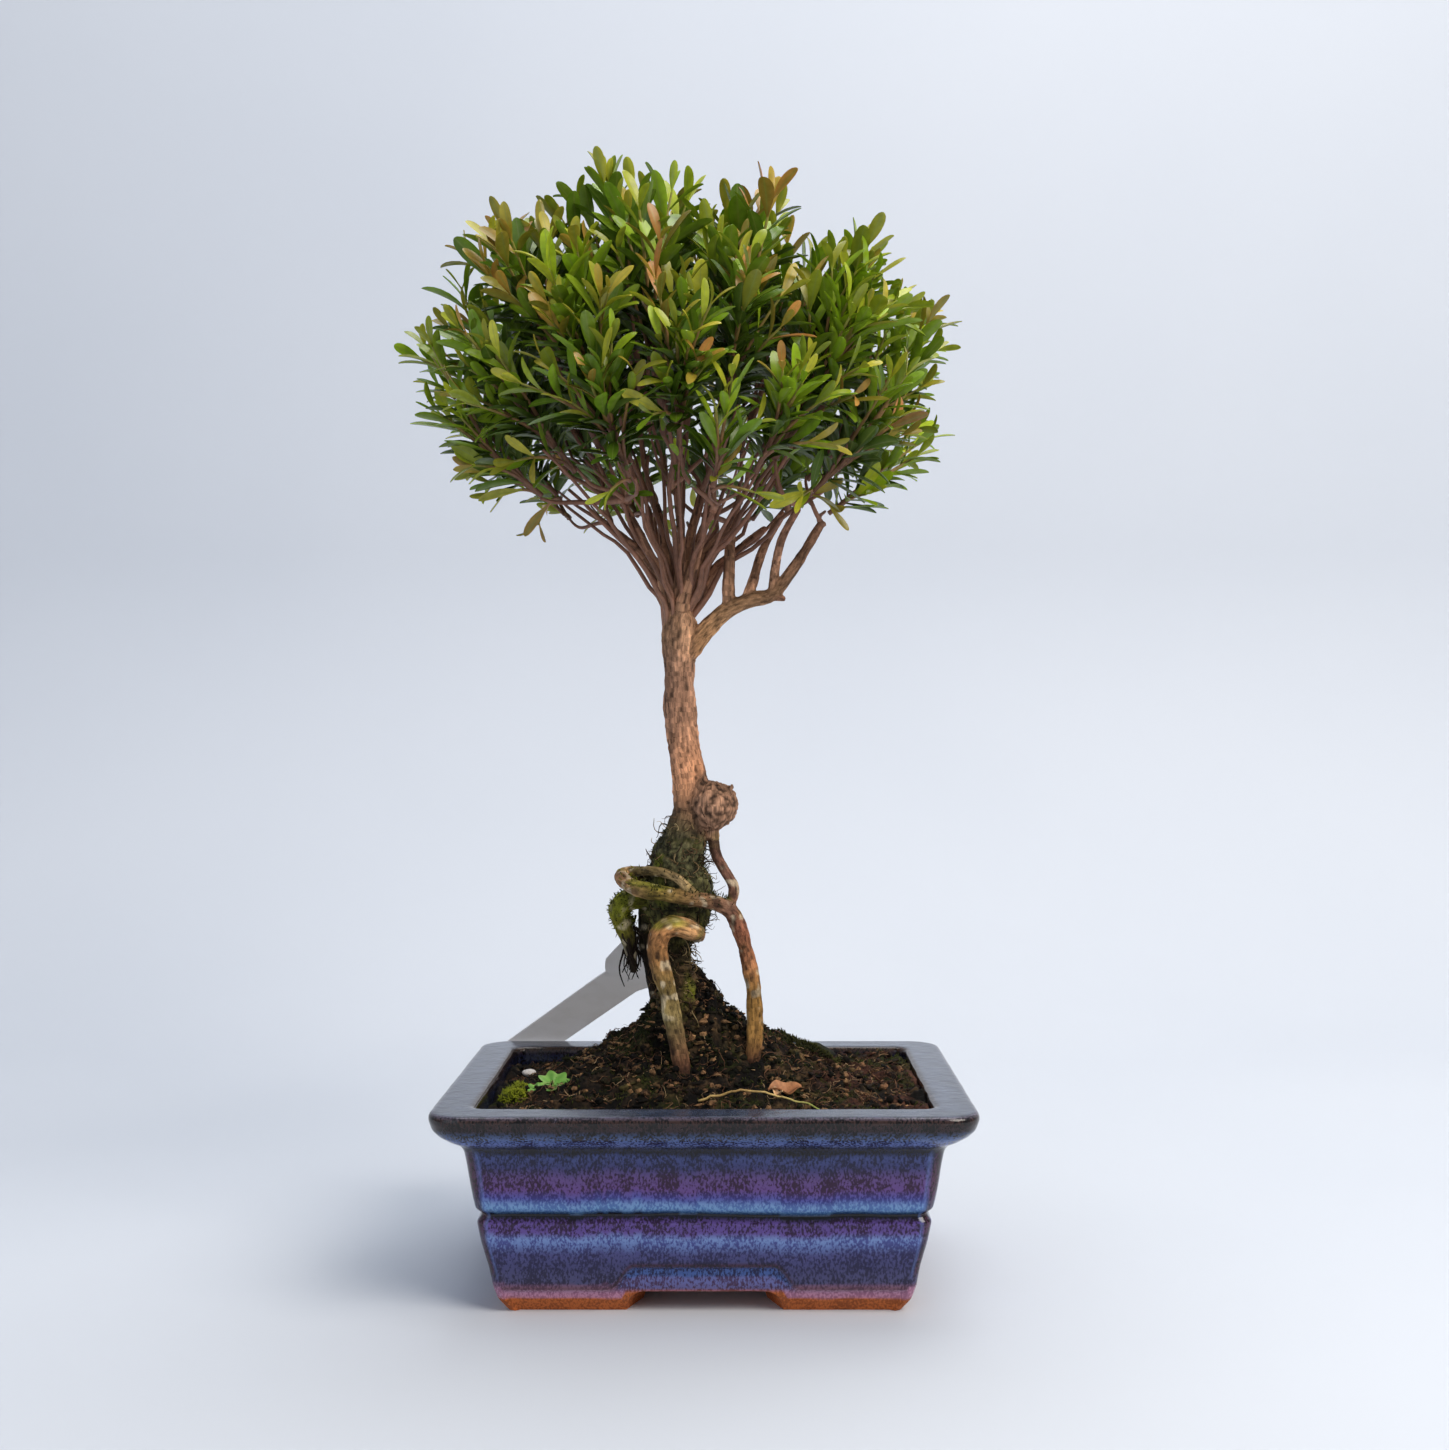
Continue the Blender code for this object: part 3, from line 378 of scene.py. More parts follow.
def tubes(paths, radii, sides):
    """Round sweeps: a ring of the station's radius at each station of a path, closed at both ends."""
    count, stations = paths.shape[:2]
    _, aside, upward = frames(paths)
    turn = np.arange(sides) * 2 * pi / sides
    ring = (aside[:, :, None] * np.cos(turn)[None, None, :, None]
            + upward[:, :, None] * np.sin(turn)[None, None, :, None])
    points = paths[:, :, None] + ring * radii[:, :, None, None]
    return points.reshape(-1, 3), repeat_faces(capped(stations, sides), count, stations * sides)


def join(parts):
    """Shapes of (points, list of faces) put together in one pair."""
    points = np.concatenate([p for p, _ in parts])
    starts = np.cumsum([0] + [len(p) for p, _ in parts[:-1]])
    return points, [f + start for (_, faces), start in zip(parts, starts) for f in faces]


def painted(name, points, faces, material, tint, values=None, sharp=None):
    """A mesh object of one material, with its colour at each point."""
    return make_object(name, points, [(f, 0) for f in faces], [material], {"tint": tint}, values, sharp)


def node_box(name):
    """A node's low corner, high corner and middle."""
    low, high = (np.array(corner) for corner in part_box(name))
    return low, high, (low + high) / 2


def settle(piece, slot, *nodes):
    """Fix a finished piece to the frame, standing for its CAD nodes."""
    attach(piece, "root")
    if nodes:
        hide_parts(*nodes)
    return piece


# ---- Materials ---------------------------------------------------------------------
def node(tree, kind, inputs=None, **settings):
    """Add a shader node: its settings, then a value or a link for each input named."""
    made = tree.nodes.new("ShaderNode" + kind)
    for key, value in settings.items():
        setattr(made, key, value)
    for key, value in (inputs or {}).items():
        if isinstance(value, bpy.types.NodeSocket):
            tree.links.new(value, made.inputs[key])
        else:
            made.inputs[key].default_value = value
    return made


def start_material(name, roughness, ior=1.5):
    """A material with its Principled shader, and the object's own coordinates."""
    material = bpy.data.materials.new(name)
    material.use_nodes = True
    tree = material.node_tree
    shader = tree.nodes["Principled BSDF"]
    shader.inputs["Roughness"].default_value = roughness
    shader.inputs["IOR"].default_value = ior
    return material, tree, shader, node(tree, "TexCoord").outputs["Object"]


def blend(tree, share, first, second):
    """The output of a colour mix."""
    return node(tree, "Mix", {0: share, 6: first, 7: second}, data_type="RGBA").outputs[2]


def clouds(tree, place, scale, detail, roughness=0.5):
    """The output of a noise texture."""
    made = node(tree, "TexNoise", {"Vector": place, "Scale": scale, "Detail": detail, "Roughness": roughness})
    return made.outputs[0]


def remap(tree, value, low, high, least, most):
    """The output of a range drawn out from low to high over least to most, and held at both ends."""
    return node(tree, "MapRange", {0: value, 1: low, 2: high, 3: least, 4: most}).outputs[0]


def held(tree, name, kind="Color"):
    """The output of a value that the mesh holds at its points."""
    return node(tree, "Attribute", attribute_name=name).outputs[kind]


def dress(tree, shader, paint, height=None, distance=0.0, strength=1.0):
    """Give a shader its colour and, where there is a height, the relief that it raises."""
    tree.links.new(paint, shader.inputs["Base Color"])
    if height:
        bump = node(tree, "Bump", {"Strength": strength, "Distance": distance, "Height": height})
        tree.links.new(bump.outputs[0], shader.inputs["Normal"])


def let_light_through(tree, shader, share, paint):
    """Mix a share of light that comes through into what the shader gives."""
    glow = node(tree, "BsdfTranslucent", {"Color": paint})
    through = node(tree, "MixShader", {0: share, 1: shader.outputs[0], 2: glow.outputs[0]})
    tree.links.new(through.outputs[0], tree.nodes["Material Output"].inputs["Surface"])


def grown_material(name, roughness, grain, contrast, relief, stretch=(1, 1, 1), attribute=None, ior=1.45):
    """A natural surface: its painted colour, darkened and lightened by a grain that also raises it.

    grain is the grain's size and relief its height, in metres; contrast is how much it changes the colour.
    """
    material, tree, shader, place = start_material(name, roughness, ior)
    if attribute:
        place = held(tree, attribute, "Vector")
    if roughness > 0.75:
        shader.inputs["Specular IOR Level"].default_value = 0.2
    place = node(tree, "Mapping", {0: place, 3: stretch}).outputs[0]
    fine = clouds(tree, place, 0.5 / grain, 4, 0.62)
    shade = remap(tree, fine, 0.3, 0.7, 1 - contrast, 1 + contrast)
    cloud = remap(tree, clouds(tree, place, 0.1 / grain, 2), 0.3, 0.7, 1 - contrast / 2, 1 + contrast / 2)
    tone = node(tree, "Math", {0: shade, 1: cloud}, operation="MULTIPLY").outputs[0]
    shaded = node(tree, "VectorMath", {0: held(tree, "tint"), 3: tone}, operation="SCALE").outputs[0]
    dress(tree, shader, shaded, fine, relief)
    return material


def flambe_glaze():
    """Stoneware under a running flambe glaze, fired glossy: pale blue streaks over purple, bare clay feet.

    The glaze breaks into upright flecks about 0.6 mm wide; where it is thin the clay shows through brown.
    """
    material, tree, shader, place = start_material("flambe_glazed_stoneware", 0.15, 1.52)
    shader.inputs["Specular IOR Level"].default_value = 0.4
    runs = node(tree, "Mapping", {0: place, 3: (1, 1, 0.5)}).outputs[0]
    fleck = clouds(tree, runs, 1550, 3, 0.6)
    cloud = clouds(tree, runs, 160, 3)
    both = node(tree, "Math", {0: cloud, 1: 0.45, 2: fleck}, operation="MULTIPLY_ADD").outputs[0]
    share = remap(tree, both, 0.67, 0.785, 0.0, 1.0)
    rough = remap(tree, held(tree, "bare", "Fac"), 0.0, 1.0, 0.11, 0.82)
    tree.links.new(rough, shader.inputs["Roughness"])
    swell = clouds(tree, place, 260, 2)
    height = node(tree, "Math", {0: fleck, 1: 0.35, 2: swell}, operation="MULTIPLY_ADD").outputs[0]
    glaze = blend(tree, share, held(tree, "glaze_dark"), held(tree, "glaze_light"))
    dress(tree, shader, glaze, height, 0.00014)
    return material


def waxy_leaf():
    """A living leaf with a waxy skin: glossy above, with a pale midrib, and light through the blade."""
    material, tree, shader, place = start_material("waxy_evergreen_leaf", 0.27, 1.47)
    shade = remap(tree, clouds(tree, place, 400, 3), 0.3, 0.7, 0.82, 1.18)
    shaded = node(tree, "VectorMath", {0: held(tree, "tint"), 3: shade}, operation="SCALE").outputs[0]
    rib = remap(tree, held(tree, "across", "Fac"), 0.0, 0.16, 0.55, 0.0)
    ribbed = blend(tree, rib, shaded, colour("#8f9a4a"))
    dress(tree, shader, ribbed, clouds(tree, place, 900, 2), 0.00006, 0.5)
    let_light_through(tree, shader, 0.28, blend(tree, 0.5, ribbed, colour("#b4cc2a")))
    return material


def label_plastic():
    """Thin white moulded polystyrene, faintly matt, with soft scuffs and dust in its creases."""
    material, tree, shader, place = start_material("matt_polystyrene_label", 0.45, 1.59)
    share = remap(tree, clouds(tree, place, 160, 4), 0.45, 0.75, 0.0, 0.35)
    dusty = blend(tree, share, colour("#e6e4e4"), colour("#beb9b0"))
    dress(tree, shader, dusty, clouds(tree, place, 1200, 2), 0.00004, 0.4)
    let_light_through(tree, shader, 0.45, colour("#f2efec"))
    return material


def screen_plastic():
    """Black extruded polyethylene mesh, dusty with soil."""
    material, tree, shader, place = start_material("black_polyethylene_mesh", 0.55, 1.51)
    share = remap(tree, clouds(tree, place, 700, 3), 0.5, 0.7, 0.0, 0.5)
    dress(tree, shader, blend(tree, share, colour("#1c1c1d"), colour("#3c3228")))
    return material


def studio_card(name, code):
    """Matt painted card for the studio's floor and back."""
    material, tree, shader, place = start_material(name, 0.9)
    share = remap(tree, clouds(tree, place, 3, 2), 0.3, 0.7, 0.0, 0.06)
    dress(tree, shader, blend(tree, share, colour(code), colour("#ffffff")))
    return material


# ---- Pot ---------------------------------------------------------------------------
def trip_round():
    """Once round a rounded rectangle: each column's corner centre, from -1 to 1, and its way out."""
    corners = ((1, 1), (-1, 1), (-1, -1), (1, -1))
    columns = []
    for quarter, here in enumerate(corners):
        turn = (quarter + np.arange(CORNER_COLUMNS) / CORNER_COLUMNS) * pi / 2
        columns.append(np.stack([np.full_like(turn, here[0]), np.full_like(turn, here[1]),
                                 np.cos(turn), np.sin(turn)], -1))
        following = corners[(quarter + 1) % 4]
        count = SIDE_COLUMNS[quarter % 2]
        share = np.arange(count) / count
        out = (cos((quarter + 1) * pi / 2), sin((quarter + 1) * pi / 2))
        columns.append(np.stack([here[0] + (following[0] - here[0]) * share,
                                 here[1] + (following[1] - here[1]) * share,
                                 np.full(count, out[0]), np.full(count, out[1])], -1))
    return np.concatenate(columns).T


def arch_height(along, half):
    """Height of an arch's underside: level, then a curve down to the ground at its ends."""
    share = np.clip((half - np.abs(along)) / ARCH_SLOPE, 0, 1) ** (1 / 1.6)
    return FOOT_HEIGHT * np.sin(share * pi / 2)


def apron_line(along, half):
    """Height of the moulded edge over an arch: level, with a rounded shoulder down at both ends."""
    ends = half + APRON_PAST - np.abs(along)
    return SKIRT_HEIGHT - 0.002 + (APRON_HEIGHT - SKIRT_HEIGHT + 0.002) * smooth(ends, 0, 0.0075)


CLAY = ("#b9632c", "#8a4519")
GLAZE_DEPTH = 0.54  # the fired glaze against the colours below
POT_OUTSIDE = (  # inset from the rim's edge, height, and the glaze's pale and deep colours there
    (GROUND_INSET, 0.0, *CLAY),
    (BAND_INSET + 0.0002, BAND_HEIGHT - 0.0006, *CLAY),
    (BAND_INSET - 0.0002, BAND_HEIGHT + 0.0004, "#b8809a", "#94607a"),
    (SKIRT_INSET + 0.0004, SKIRT_HEIGHT - 0.0016, "#b8869e", "#8c5c7a"),
    (SKIRT_INSET + 0.0001, SKIRT_HEIGHT - 0.0004, "#705a84", "#3a2848"),
    (SKIRT_INSET, SKIRT_HEIGHT + 0.0006, "#5c5c8c", "#2f2a4c"),
    (SKIRT_INSET - 0.0007, 0.0145, "#52528a", "#2c2a54"),
    (SKIRT_INSET - 0.0018, 0.0190, "#5c5ea0", "#322f62"),
    (SKIRT_INSET - 0.0027, 0.0222, "#84a0e4", "#5058a4"),
    (SKIRT_INSET - 0.0030, 0.0238, "#90b0f0", "#5864b2"),
    (SKIRT_INSET - 0.0034, 0.0258, "#765ab4", "#361246"),
    (GROOVE_INSET + 0.0002, 0.0290, "#6e54a8", "#30123f"),
    # The groove's two rows: painted shade, the glaze painted near-black inside the recess.
    (GROOVE_INSET + 0.0015, 0.0305, "#121828", "#07070c"),
    (GROOVE_INSET + 0.0015, 0.0313, "#141c30", "#07070c"),
    (GROOVE_INSET - 0.0002, 0.0328, "#88bcf4", "#5c8cd0"),
    (GROOVE_INSET - 0.0006, 0.0345, "#90bcf4", "#6084cc"),
    (GROOVE_INSET - 0.0010, 0.0364, "#626ac8", "#3a3894"),
    (GROOVE_INSET - 0.0015, 0.0392, "#7a54a6", "#3a1042"),
    (GROOVE_INSET - 0.0021, 0.0428, "#7658a0", "#36103c"),
    (RIM_OVERHANG + 0.0006, 0.0462, "#484a8c", "#1e1c46"),
    (RIM_OVERHANG, BODY_TOP - 0.0006, "#4e5ea2", "#1e224c"),
    # The cove's two rows under the rim's overhang: painted shade, the glaze painted dark where the overhang
    # shades it.
    (0.97 * RIM_OVERHANG, FACE_LOW - 0.0022, "#20263e", "#080a12"),
    (0.86 * RIM_OVERHANG, FACE_LOW - 0.0006, "#2c3456", "#0c0f1a"),
    (0.56 * RIM_OVERHANG, FACE_LOW + 0.0010, "#90a4ea", "#30346a"),
    (0.28 * RIM_OVERHANG, FACE_LOW + 0.0030, "#6c88c8", "#14172c"),
    (0.10 * RIM_OVERHANG, FACE_LOW + 0.0050, "#40547c", "#0d0e16"),
    (0.06 * RIM_OVERHANG, FACE_LOW + 0.0062, "#3c2c32", "#0a0606"),
    (0.02 * RIM_OVERHANG, FACE_LOW + 0.0074, "#3e2c30", "#0a0606"),
    (0.0, POT_HEIGHT - 0.0024, "#382422", "#0a0606"),
    (0.0001, POT_HEIGHT - 0.0009, "#4e3833", "#120c0c"),
    (0.0007, POT_HEIGHT - 0.0001, "#786e86", "#3f3c4a"),
    (0.0018, POT_HEIGHT, "#5a6680", "#343c4e"),
    (0.0065, POT_HEIGHT, "#606d88", "#3a4358"),
    (RIM_LAND - 0.0022, POT_HEIGHT, "#64718c", "#3d465e"),
    (RIM_LAND - 0.0008, POT_HEIGHT - 0.0001, "#5c4a44", "#2c201c"),
    (RIM_LAND, POT_HEIGHT - 0.0009, "#4e3628", "#20160f"),
    (RIM_LAND + 0.0002, POT_HEIGHT - 0.0030, "#2a3050", "#141420"),
    (RIM_OVERHANG + WALL, BODY_TOP, "#262a40", "#141420"),
)


def pot_rows():
    """The profile at even steps along its length, its corners rounded by a short running mean."""
    keys = np.array([row[:2] for row in POT_OUTSIDE])
    length = np.r_[0, np.cumsum(np.linalg.norm(np.diff(keys, axis=0), axis=1))]
    at = np.linspace(0, length[-1], int(length[-1] / ROW_STEP))
    rows = np.stack([np.interp(at, length, keys[:, k]) for k in (0, 1)], -1)
    padded = np.vstack([rows[:1], rows, rows[-1:]])
    rows[1:-1] = (padded[:-2] + 2 * padded[1:-1] + padded[2:])[1:-1] / 4
    tones = []
    for column in (2, 3):
        stops = np.array([linear(row[column]) for row in POT_OUTSIDE])
        stops[4:] *= GLAZE_DEPTH
        tones.append(np.stack([np.interp(at, length, stops[:, k]) for k in range(3)], -1))
    return rows, tones


def glazed_pot(material):
    """The pot as one closed skin: columns round its rounded rectangle, rows along its profile.

    The rows run from the hollow underneath, out under the feet, up the sides, over the rim and
    down the inside. Near the ground each column's rows are squeezed up to the arch's height.
    """
    corner_x, corner_y, out_x, out_y = trip_round()
    rows, tones = pot_rows()
    ground_x = RIM_LENGTH / 2 - GROUND_INSET
    ground_y = RIM_WIDTH / 2 - GROUND_INSET
    front = np.abs(out_y) > 0.999
    side = np.abs(out_x) > 0.999
    along = np.where(front, corner_x * (ground_x - LEAST_CORNER), corner_y * (ground_y - LEAST_CORNER))
    half = np.where(front, ground_x - FOOT_LENGTH, ground_y - FOOT_DEPTH)
    lift = np.where(front | side, arch_height(along, half), 0.0)
    apron = np.where(front | side, apron_line(along, half), 0.0)

    height = rows[:, 1, None] + np.zeros_like(lift)
    top = SKIRT_HEIGHT + 0.006
    low = np.arange(len(rows))[:, None] < np.argmax(rows[:, 1] > top)
    height = np.where(low, lift + height * (1 - lift / top), height)
    last = np.argmax(rows[:, 1] > POT_HEIGHT - 0.001)
    outer = np.arange(len(rows))[:, None] <= last
    rising = rows[:last + 1]
    inset = np.where(outer, np.interp(height, rising[:, 1], rising[:, 0]), rows[:, 0, None])
    ring = np.stack([corner_x * RIM_LENGTH / 2, corner_y * RIM_WIDTH / 2, 0 * corner_x], -1)
    place = np.stack([np.broadcast_to(ring[:, 0], height.shape), np.broadcast_to(ring[:, 1], height.shape),
                      height], -1)
    sag = np.exp(-((height - TIER_HEIGHT) / 0.005) ** 2)
    height = height + 0.00045 * sag * noise(place * (1, 1, 0), 0.016, 3)
    body = smooth(height, SKIRT_HEIGHT, 0.014) * (1 - smooth(height, BODY_TOP - 0.001, FACE_LOW))
    inset = inset + 0.00030 * body * noise(place, 0.022, 5) + 0.00012 * noise(place, 0.007, 6)
    cut = smooth(apron - height, 0, 0.0011) * (lift < 2 * apron) * outer
    inset = inset + APRON_DEPTH * cut

    under = np.array(((GROUND_INSET + FOOT_WIDTH, RECESS_HEIGHT), (GROUND_INSET + FOOT_WIDTH, 0.004),
                      (GROUND_INSET + FOOT_WIDTH, 0.0), (GROUND_INSET + FOOT_WIDTH / 2, 0.0),
                      (GROUND_INSET + 0.0012, 0.0)))
    squeezed = np.minimum(lift + under[:, 1:] * (1 - lift / RECESS_HEIGHT), RECESS_HEIGHT - 0.0001)
    under_height = np.where(under[:, 1:] == RECESS_HEIGHT, RECESS_HEIGHT, squeezed)
    under_inset = under[:, :1] + np.zeros_like(lift)
    inner_end = np.array(((RIM_OVERHANG + WALL, BODY_TOP), (SKIRT_INSET + WALL, POT_FLOOR)))
    share = np.linspace(0, 1, INNER_ROWS + 1)[1:, None]
    inside = inner_end[0] * (1 - share) + inner_end[1] * share
    inset = np.vstack([under_inset, inset, inside[:, :1] + np.zeros_like(lift)])
    height = np.vstack([under_height, height, inside[:, 1:] + np.zeros_like(lift)])

    corner = np.maximum(CORNER_RADIUS - CORNER_FALL * inset, LEAST_CORNER)
    x = POT_X + corner_x * (RIM_LENGTH / 2 - inset - corner) + out_x * corner
    y = corner_y * (RIM_WIDTH / 2 - inset - corner) + out_y * corner
    points = np.stack([x, y, height], -1)

    paints = []
    turning = np.minimum(np.abs(out_x), np.abs(out_y)) / sqrt(0.5)
    edge = (smooth(turning, 0.25, 0.75) * body)[..., None]
    flank = (smooth(turning, 0.02, 0.2) * (1 - smooth(turning, 0.3, 0.6)) * body)[..., None]
    sides = height[UNDER_ROWS:UNDER_ROWS + len(rows)]
    wave = 0.0011 * noise(place * (1, 1, 0), 0.012, 8) + 0.0006 * noise(place * (1, 1, 0), 0.004, 9)
    row = np.arange(len(rows))[:, None]
    run_down, run_less = (np.clip(row + (part * wave / ROW_STEP).astype(int), 0, len(rows) - 1)
                          for part in (1, 0.6))
    rim = smooth(sides, FACE_LOW - 0.002, FACE_LOW) * outer
    brink = np.exp(-((apron - sides + 0.0004) / 0.0007) ** 2) * outer * (apron > 0)
    for tone, thin in zip(tones, (linear("#43222e"), linear("#1c0c10"))):
        paint = np.broadcast_to(tone[:, None], (len(rows), len(lift), 3))
        paint = np.where(body[..., None] > 0, tone[run_down], paint)
        paint = np.where(rim[..., None] > 0, tone[run_less], paint)
        paint = paint * (1 - 0.3 * flank) + linear("#6a84c4") * 0.3 * flank
        paint = paint * (1 - 0.85 * edge) + thin * 0.85 * edge
        paint = paint * (1 - 0.85 * brink[..., None]) + thin * 0.7 * brink[..., None]
        paints.append(paint)
    lip = cut * smooth(sides, 0.0060, 0.0080)
    lip_share = (0.85 * lip * (1 - 0.6 * brink))[..., None]
    paints[0] = paints[0] * (1 - lip_share) + linear("#3c5a98") * lip_share
    paints[1] = paints[1] * (1 - lip_share) + linear("#161c44") * lip_share
    line = BAND_HEIGHT + 0.0004 * noise(place * (1, 1, 0), 0.010, 11)
    bare = (1 - smooth(sides, line - 0.0003, line + 0.0003)) * outer
    clay = [linear(code) for code in CLAY]
    full = []
    for paint, fired in zip(paints, clay):
        paint = paint * (1 - bare[..., None]) + fired * bare[..., None]
        full.append(np.concatenate([np.broadcast_to(fired, (UNDER_ROWS, len(lift), 3)), paint,
                                    np.broadcast_to(linear("#20222e"), (INNER_ROWS, len(lift), 3))]))
    bare = np.vstack([np.ones((UNDER_ROWS, len(lift))), bare, np.zeros((INNER_ROWS, len(lift)))])

    pot = make_object("pot_glazed", points, [(f, 0) for f in capped(*height.shape)], [material],
                      {"glaze_light": full[0].reshape(-1, 3), "glaze_dark": full[1].reshape(-1, 3)},
                      {"bare": bare.ravel()}, sharp=50)
    return pierce(pot)


def pierce(pot):
    """Cut the two round drain holes through the pot's floor."""
    for side in (-1, 1):
        path = np.array([[(POT_X + side * DRAIN_SPACING / 2, 0, z) for z in (0.003, 0.020)]])
        points, faces = tubes(path, np.full((1, 2), DRAIN_RADIUS), 32)
        cutter = make_object("drain_cutter", points, [(f, 0) for f in faces], [])
        cut = pot.modifiers.new("drain", "BOOLEAN")
        cut.operation = "DIFFERENCE"
        cut.solver = "EXACT"
        cut.object = cutter
        apply_modifiers(pot)
        bpy.data.objects.remove(cutter)
    return pot


def apply_modifiers(piece):
    """Replace a piece's mesh with what its modifiers make of it."""
    finished = bpy.data.meshes.new_from_object(piece.evaluated_get(bpy.context.evaluated_depsgraph_get()))
    piece.modifiers.clear()
    piece.data = finished


# ---- Soil --------------------------------------------------------------------------
def soil_height(x, y):
    """Height of the soil: a slope from the left wall to the right one, the mound and its neck."""
    across = np.clip((x - POT_X) / (RIM_LENGTH / 2 - RIM_LAND), -1, 1)
    depth = (SOIL_LEFT + SOIL_RIGHT) / 2 - across * (SOIL_LEFT - SOIL_RIGHT) / 2
    run_x, run_y = x - MOUND_X, y - MOUND_Y
    mound = MOUND_HEIGHT * np.exp(-0.5 * ((run_x / MOUND_LENGTH) ** 2 + (run_y / MOUND_DEPTH) ** 2))
    neck = NECK_HEIGHT * np.exp(-0.5 * (run_x ** 2 + run_y ** 2) / NECK_SPREAD ** 2)
    return POT_HEIGHT - depth + mound + neck


def ground(x, y):
    """The soil's surface with its lumps: rounded clods of three sizes and fine grit."""
    place = np.stack([x, y, 0 * x], -1)
    near = np.exp(-0.5 * (((x - MOUND_X) / 0.026) ** 2 + ((y - MOUND_Y) / 0.024) ** 2))
    clods = (0.0034 * np.abs(noise(place, 0.0070, 21)) + 0.0022 * np.abs(noise(place, 0.0034, 22))
             + 0.0012 * np.abs(noise(place, 0.0016, 23)) + 0.0004 * noise(place, 0.0008, 24))
    return soil_height(x, y) + (clods - 0.0022) * (0.85 + 0.4 * near)


def on_ground(place):
    """A place put down on the soil's surface."""
    return np.array((place[0], place[1], float(ground(place[0], place[1]))))


def soil_tints(x, y, seed):
    """Near-black humus with brown, reddish at the right, and green where moss has taken hold."""
    place = np.stack([x, y, 0 * x], -1)
    share = 0.5 + 0.5 * layered(place, 0.004, seed)
    tint = ramp(("#050403", "#0d0a08", "#221a13", "#4a3a26"), share)
    red = smooth(x, POT_X + 0.020, POT_X + 0.050) * smooth(noise(place, 0.005, seed + 3), -0.2, 0.5)
    green = smooth(noise(place, 0.009, seed + 5), 0.05, 0.5)
    return toward(toward(tint, "#4a2c22", 0.55 * red), "#23280c", 0.6 * green)


def soil_bed(material):
    """The soil: a square grid drawn into a rounded rectangle, raised to the ground's height, closed below."""
    columns, rows = 230, 164
    u, v = np.meshgrid(np.linspace(-1, 1, columns), np.linspace(-1, 1, rows))
    x, y = u * SOIL_HALF_X, v * SOIL_HALF_Y
    past_x = np.maximum(np.abs(x) - (SOIL_HALF_X - SOIL_CORNER), 0)
    past_y = np.maximum(np.abs(y) - (SOIL_HALF_Y - SOIL_CORNER), 0)
    pull = np.maximum(past_x, past_y) / np.maximum(np.hypot(past_x, past_y), 1e-9)
    pull = np.where((past_x > 0) & (past_y > 0), pull, 1.0)
    x = np.sign(x) * (np.abs(x) - past_x + past_x * pull) + POT_X
    y = np.sign(y) * (np.abs(y) - past_y + past_y * pull)
    top = np.stack([x, y, ground(x, y)], -1).reshape(-1, 3)
    index = np.arange(rows * columns).reshape(rows, columns)
    loop = np.concatenate([index[0, :-1], index[:-1, -1], index[-1, :0:-1], index[:0:-1, 0]])
    inset = np.array((RIM_LENGTH, RIM_WIDTH)) / 2 - SKIRT_INSET - WALL - 0.0004
    shrink = inset / (SOIL_HALF_X, SOIL_HALF_Y)
    foot = (top[loop] - (POT_X, 0, 0)) * (*shrink, 0) + (POT_X, 0, SOIL_LOW)
    below = np.arange(len(loop)) + len(top)
    skirt = np.stack([loop, below, np.roll(below, -1), np.roll(loop, -1)], -1)
    points = np.vstack([top, foot])
    tint = soil_tints(points[:, 0], points[:, 1], 31)
    faces = [grid_faces(rows, columns, False), skirt, below[None, ::-1]]
    return painted("soil_bed", points, faces, material, tint)


def scatter_on_soil(rng, count, margin=0.002):
    """Random places on the soil inside the pot's inner edge, on their ground height."""
    x = POT_X + rng.uniform(-1, 1, count) * (SOIL_HALF_X - margin)
    y = rng.uniform(-1, 1, count) * (SOIL_HALF_Y - margin)
    return np.column_stack([x, y, ground(x, y)])


def lumps(centres, sizes, rng):
    """Irregular pebble-like grains: a coarse ball of rings and sides, each point pushed in or out."""
    rings, sides = 5, 7
    level = np.linspace(0.12, 1, rings + 1)[:-1] * pi * 0.97
    turn = np.arange(sides) * 2 * pi / sides
    ball = np.stack([np.sin(level)[:, None] * np.cos(turn), np.sin(level)[:, None] * np.sin(turn),
                     np.cos(level)[:, None] + 0 * turn], -1).reshape(-1, 3)
    count = len(centres)
    push = 1 + 0.28 * rng.uniform(-1, 1, (count, len(ball), 1))
    turns = rng.uniform(0, 2 * pi, (count, 1))
    shape = ball[None] * push * sizes[:, None]
    x = shape[..., 0] * np.cos(turns) - shape[..., 1] * np.sin(turns)
    y = shape[..., 0] * np.sin(turns) + shape[..., 1] * np.cos(turns)
    points = np.stack([x, y, shape[..., 2]], -1) + centres[:, None]
    return points.reshape(-1, 3), repeat_faces(capped(rings, sides, True), count, rings * sides)


def soil_crumbs(material):
    """Crumbs of soil and chips of bark strewn over the bed."""
    rng = np.random.default_rng(4)
    count = CRUMB_COUNT
    centres = scatter_on_soil(rng, count)
    heaped = rng.normal(size=(MOUND_CRUMBS, 2)) * (0.022, 0.017)
    centres[:MOUND_CRUMBS, :2] = (MOUND_X, MOUND_Y - 0.004) + heaped
    centres[:, 0] = np.clip(centres[:, 0], POT_X - SOIL_HALF_X + 0.004, POT_X + SOIL_HALF_X - 0.004)
    centres[:, 1] = np.clip(centres[:, 1], 0.004 - SOIL_HALF_Y, SOIL_HALF_Y - 0.004)
    centres[:, 2] = ground(centres[:, 0], centres[:, 1])
    sizes = rng.uniform(0.25, 0.8, (count, 1)) ** 1.6 * np.array((1.0, 0.8, 0.7)) * 0.0024
    chips = rng.random(count) < 0.22
    sizes[chips] *= (2.2, 0.6, 0.5)
    points, faces = lumps(centres, sizes, rng)
    pick = np.repeat(rng.random(count), len(points) // count)
    tint = soil_tints(points[:, 0], points[:, 1], 37)
    chip = smooth(pick, 0.72, 1.0)[:, None]
    tint = tint * (0.3 + 1.6 * pick[:, None] ** 2) + (linear("#7c5c40") - tint) * chip
    return painted("soil_crumbs", points, faces, material, tint, sharp=60)


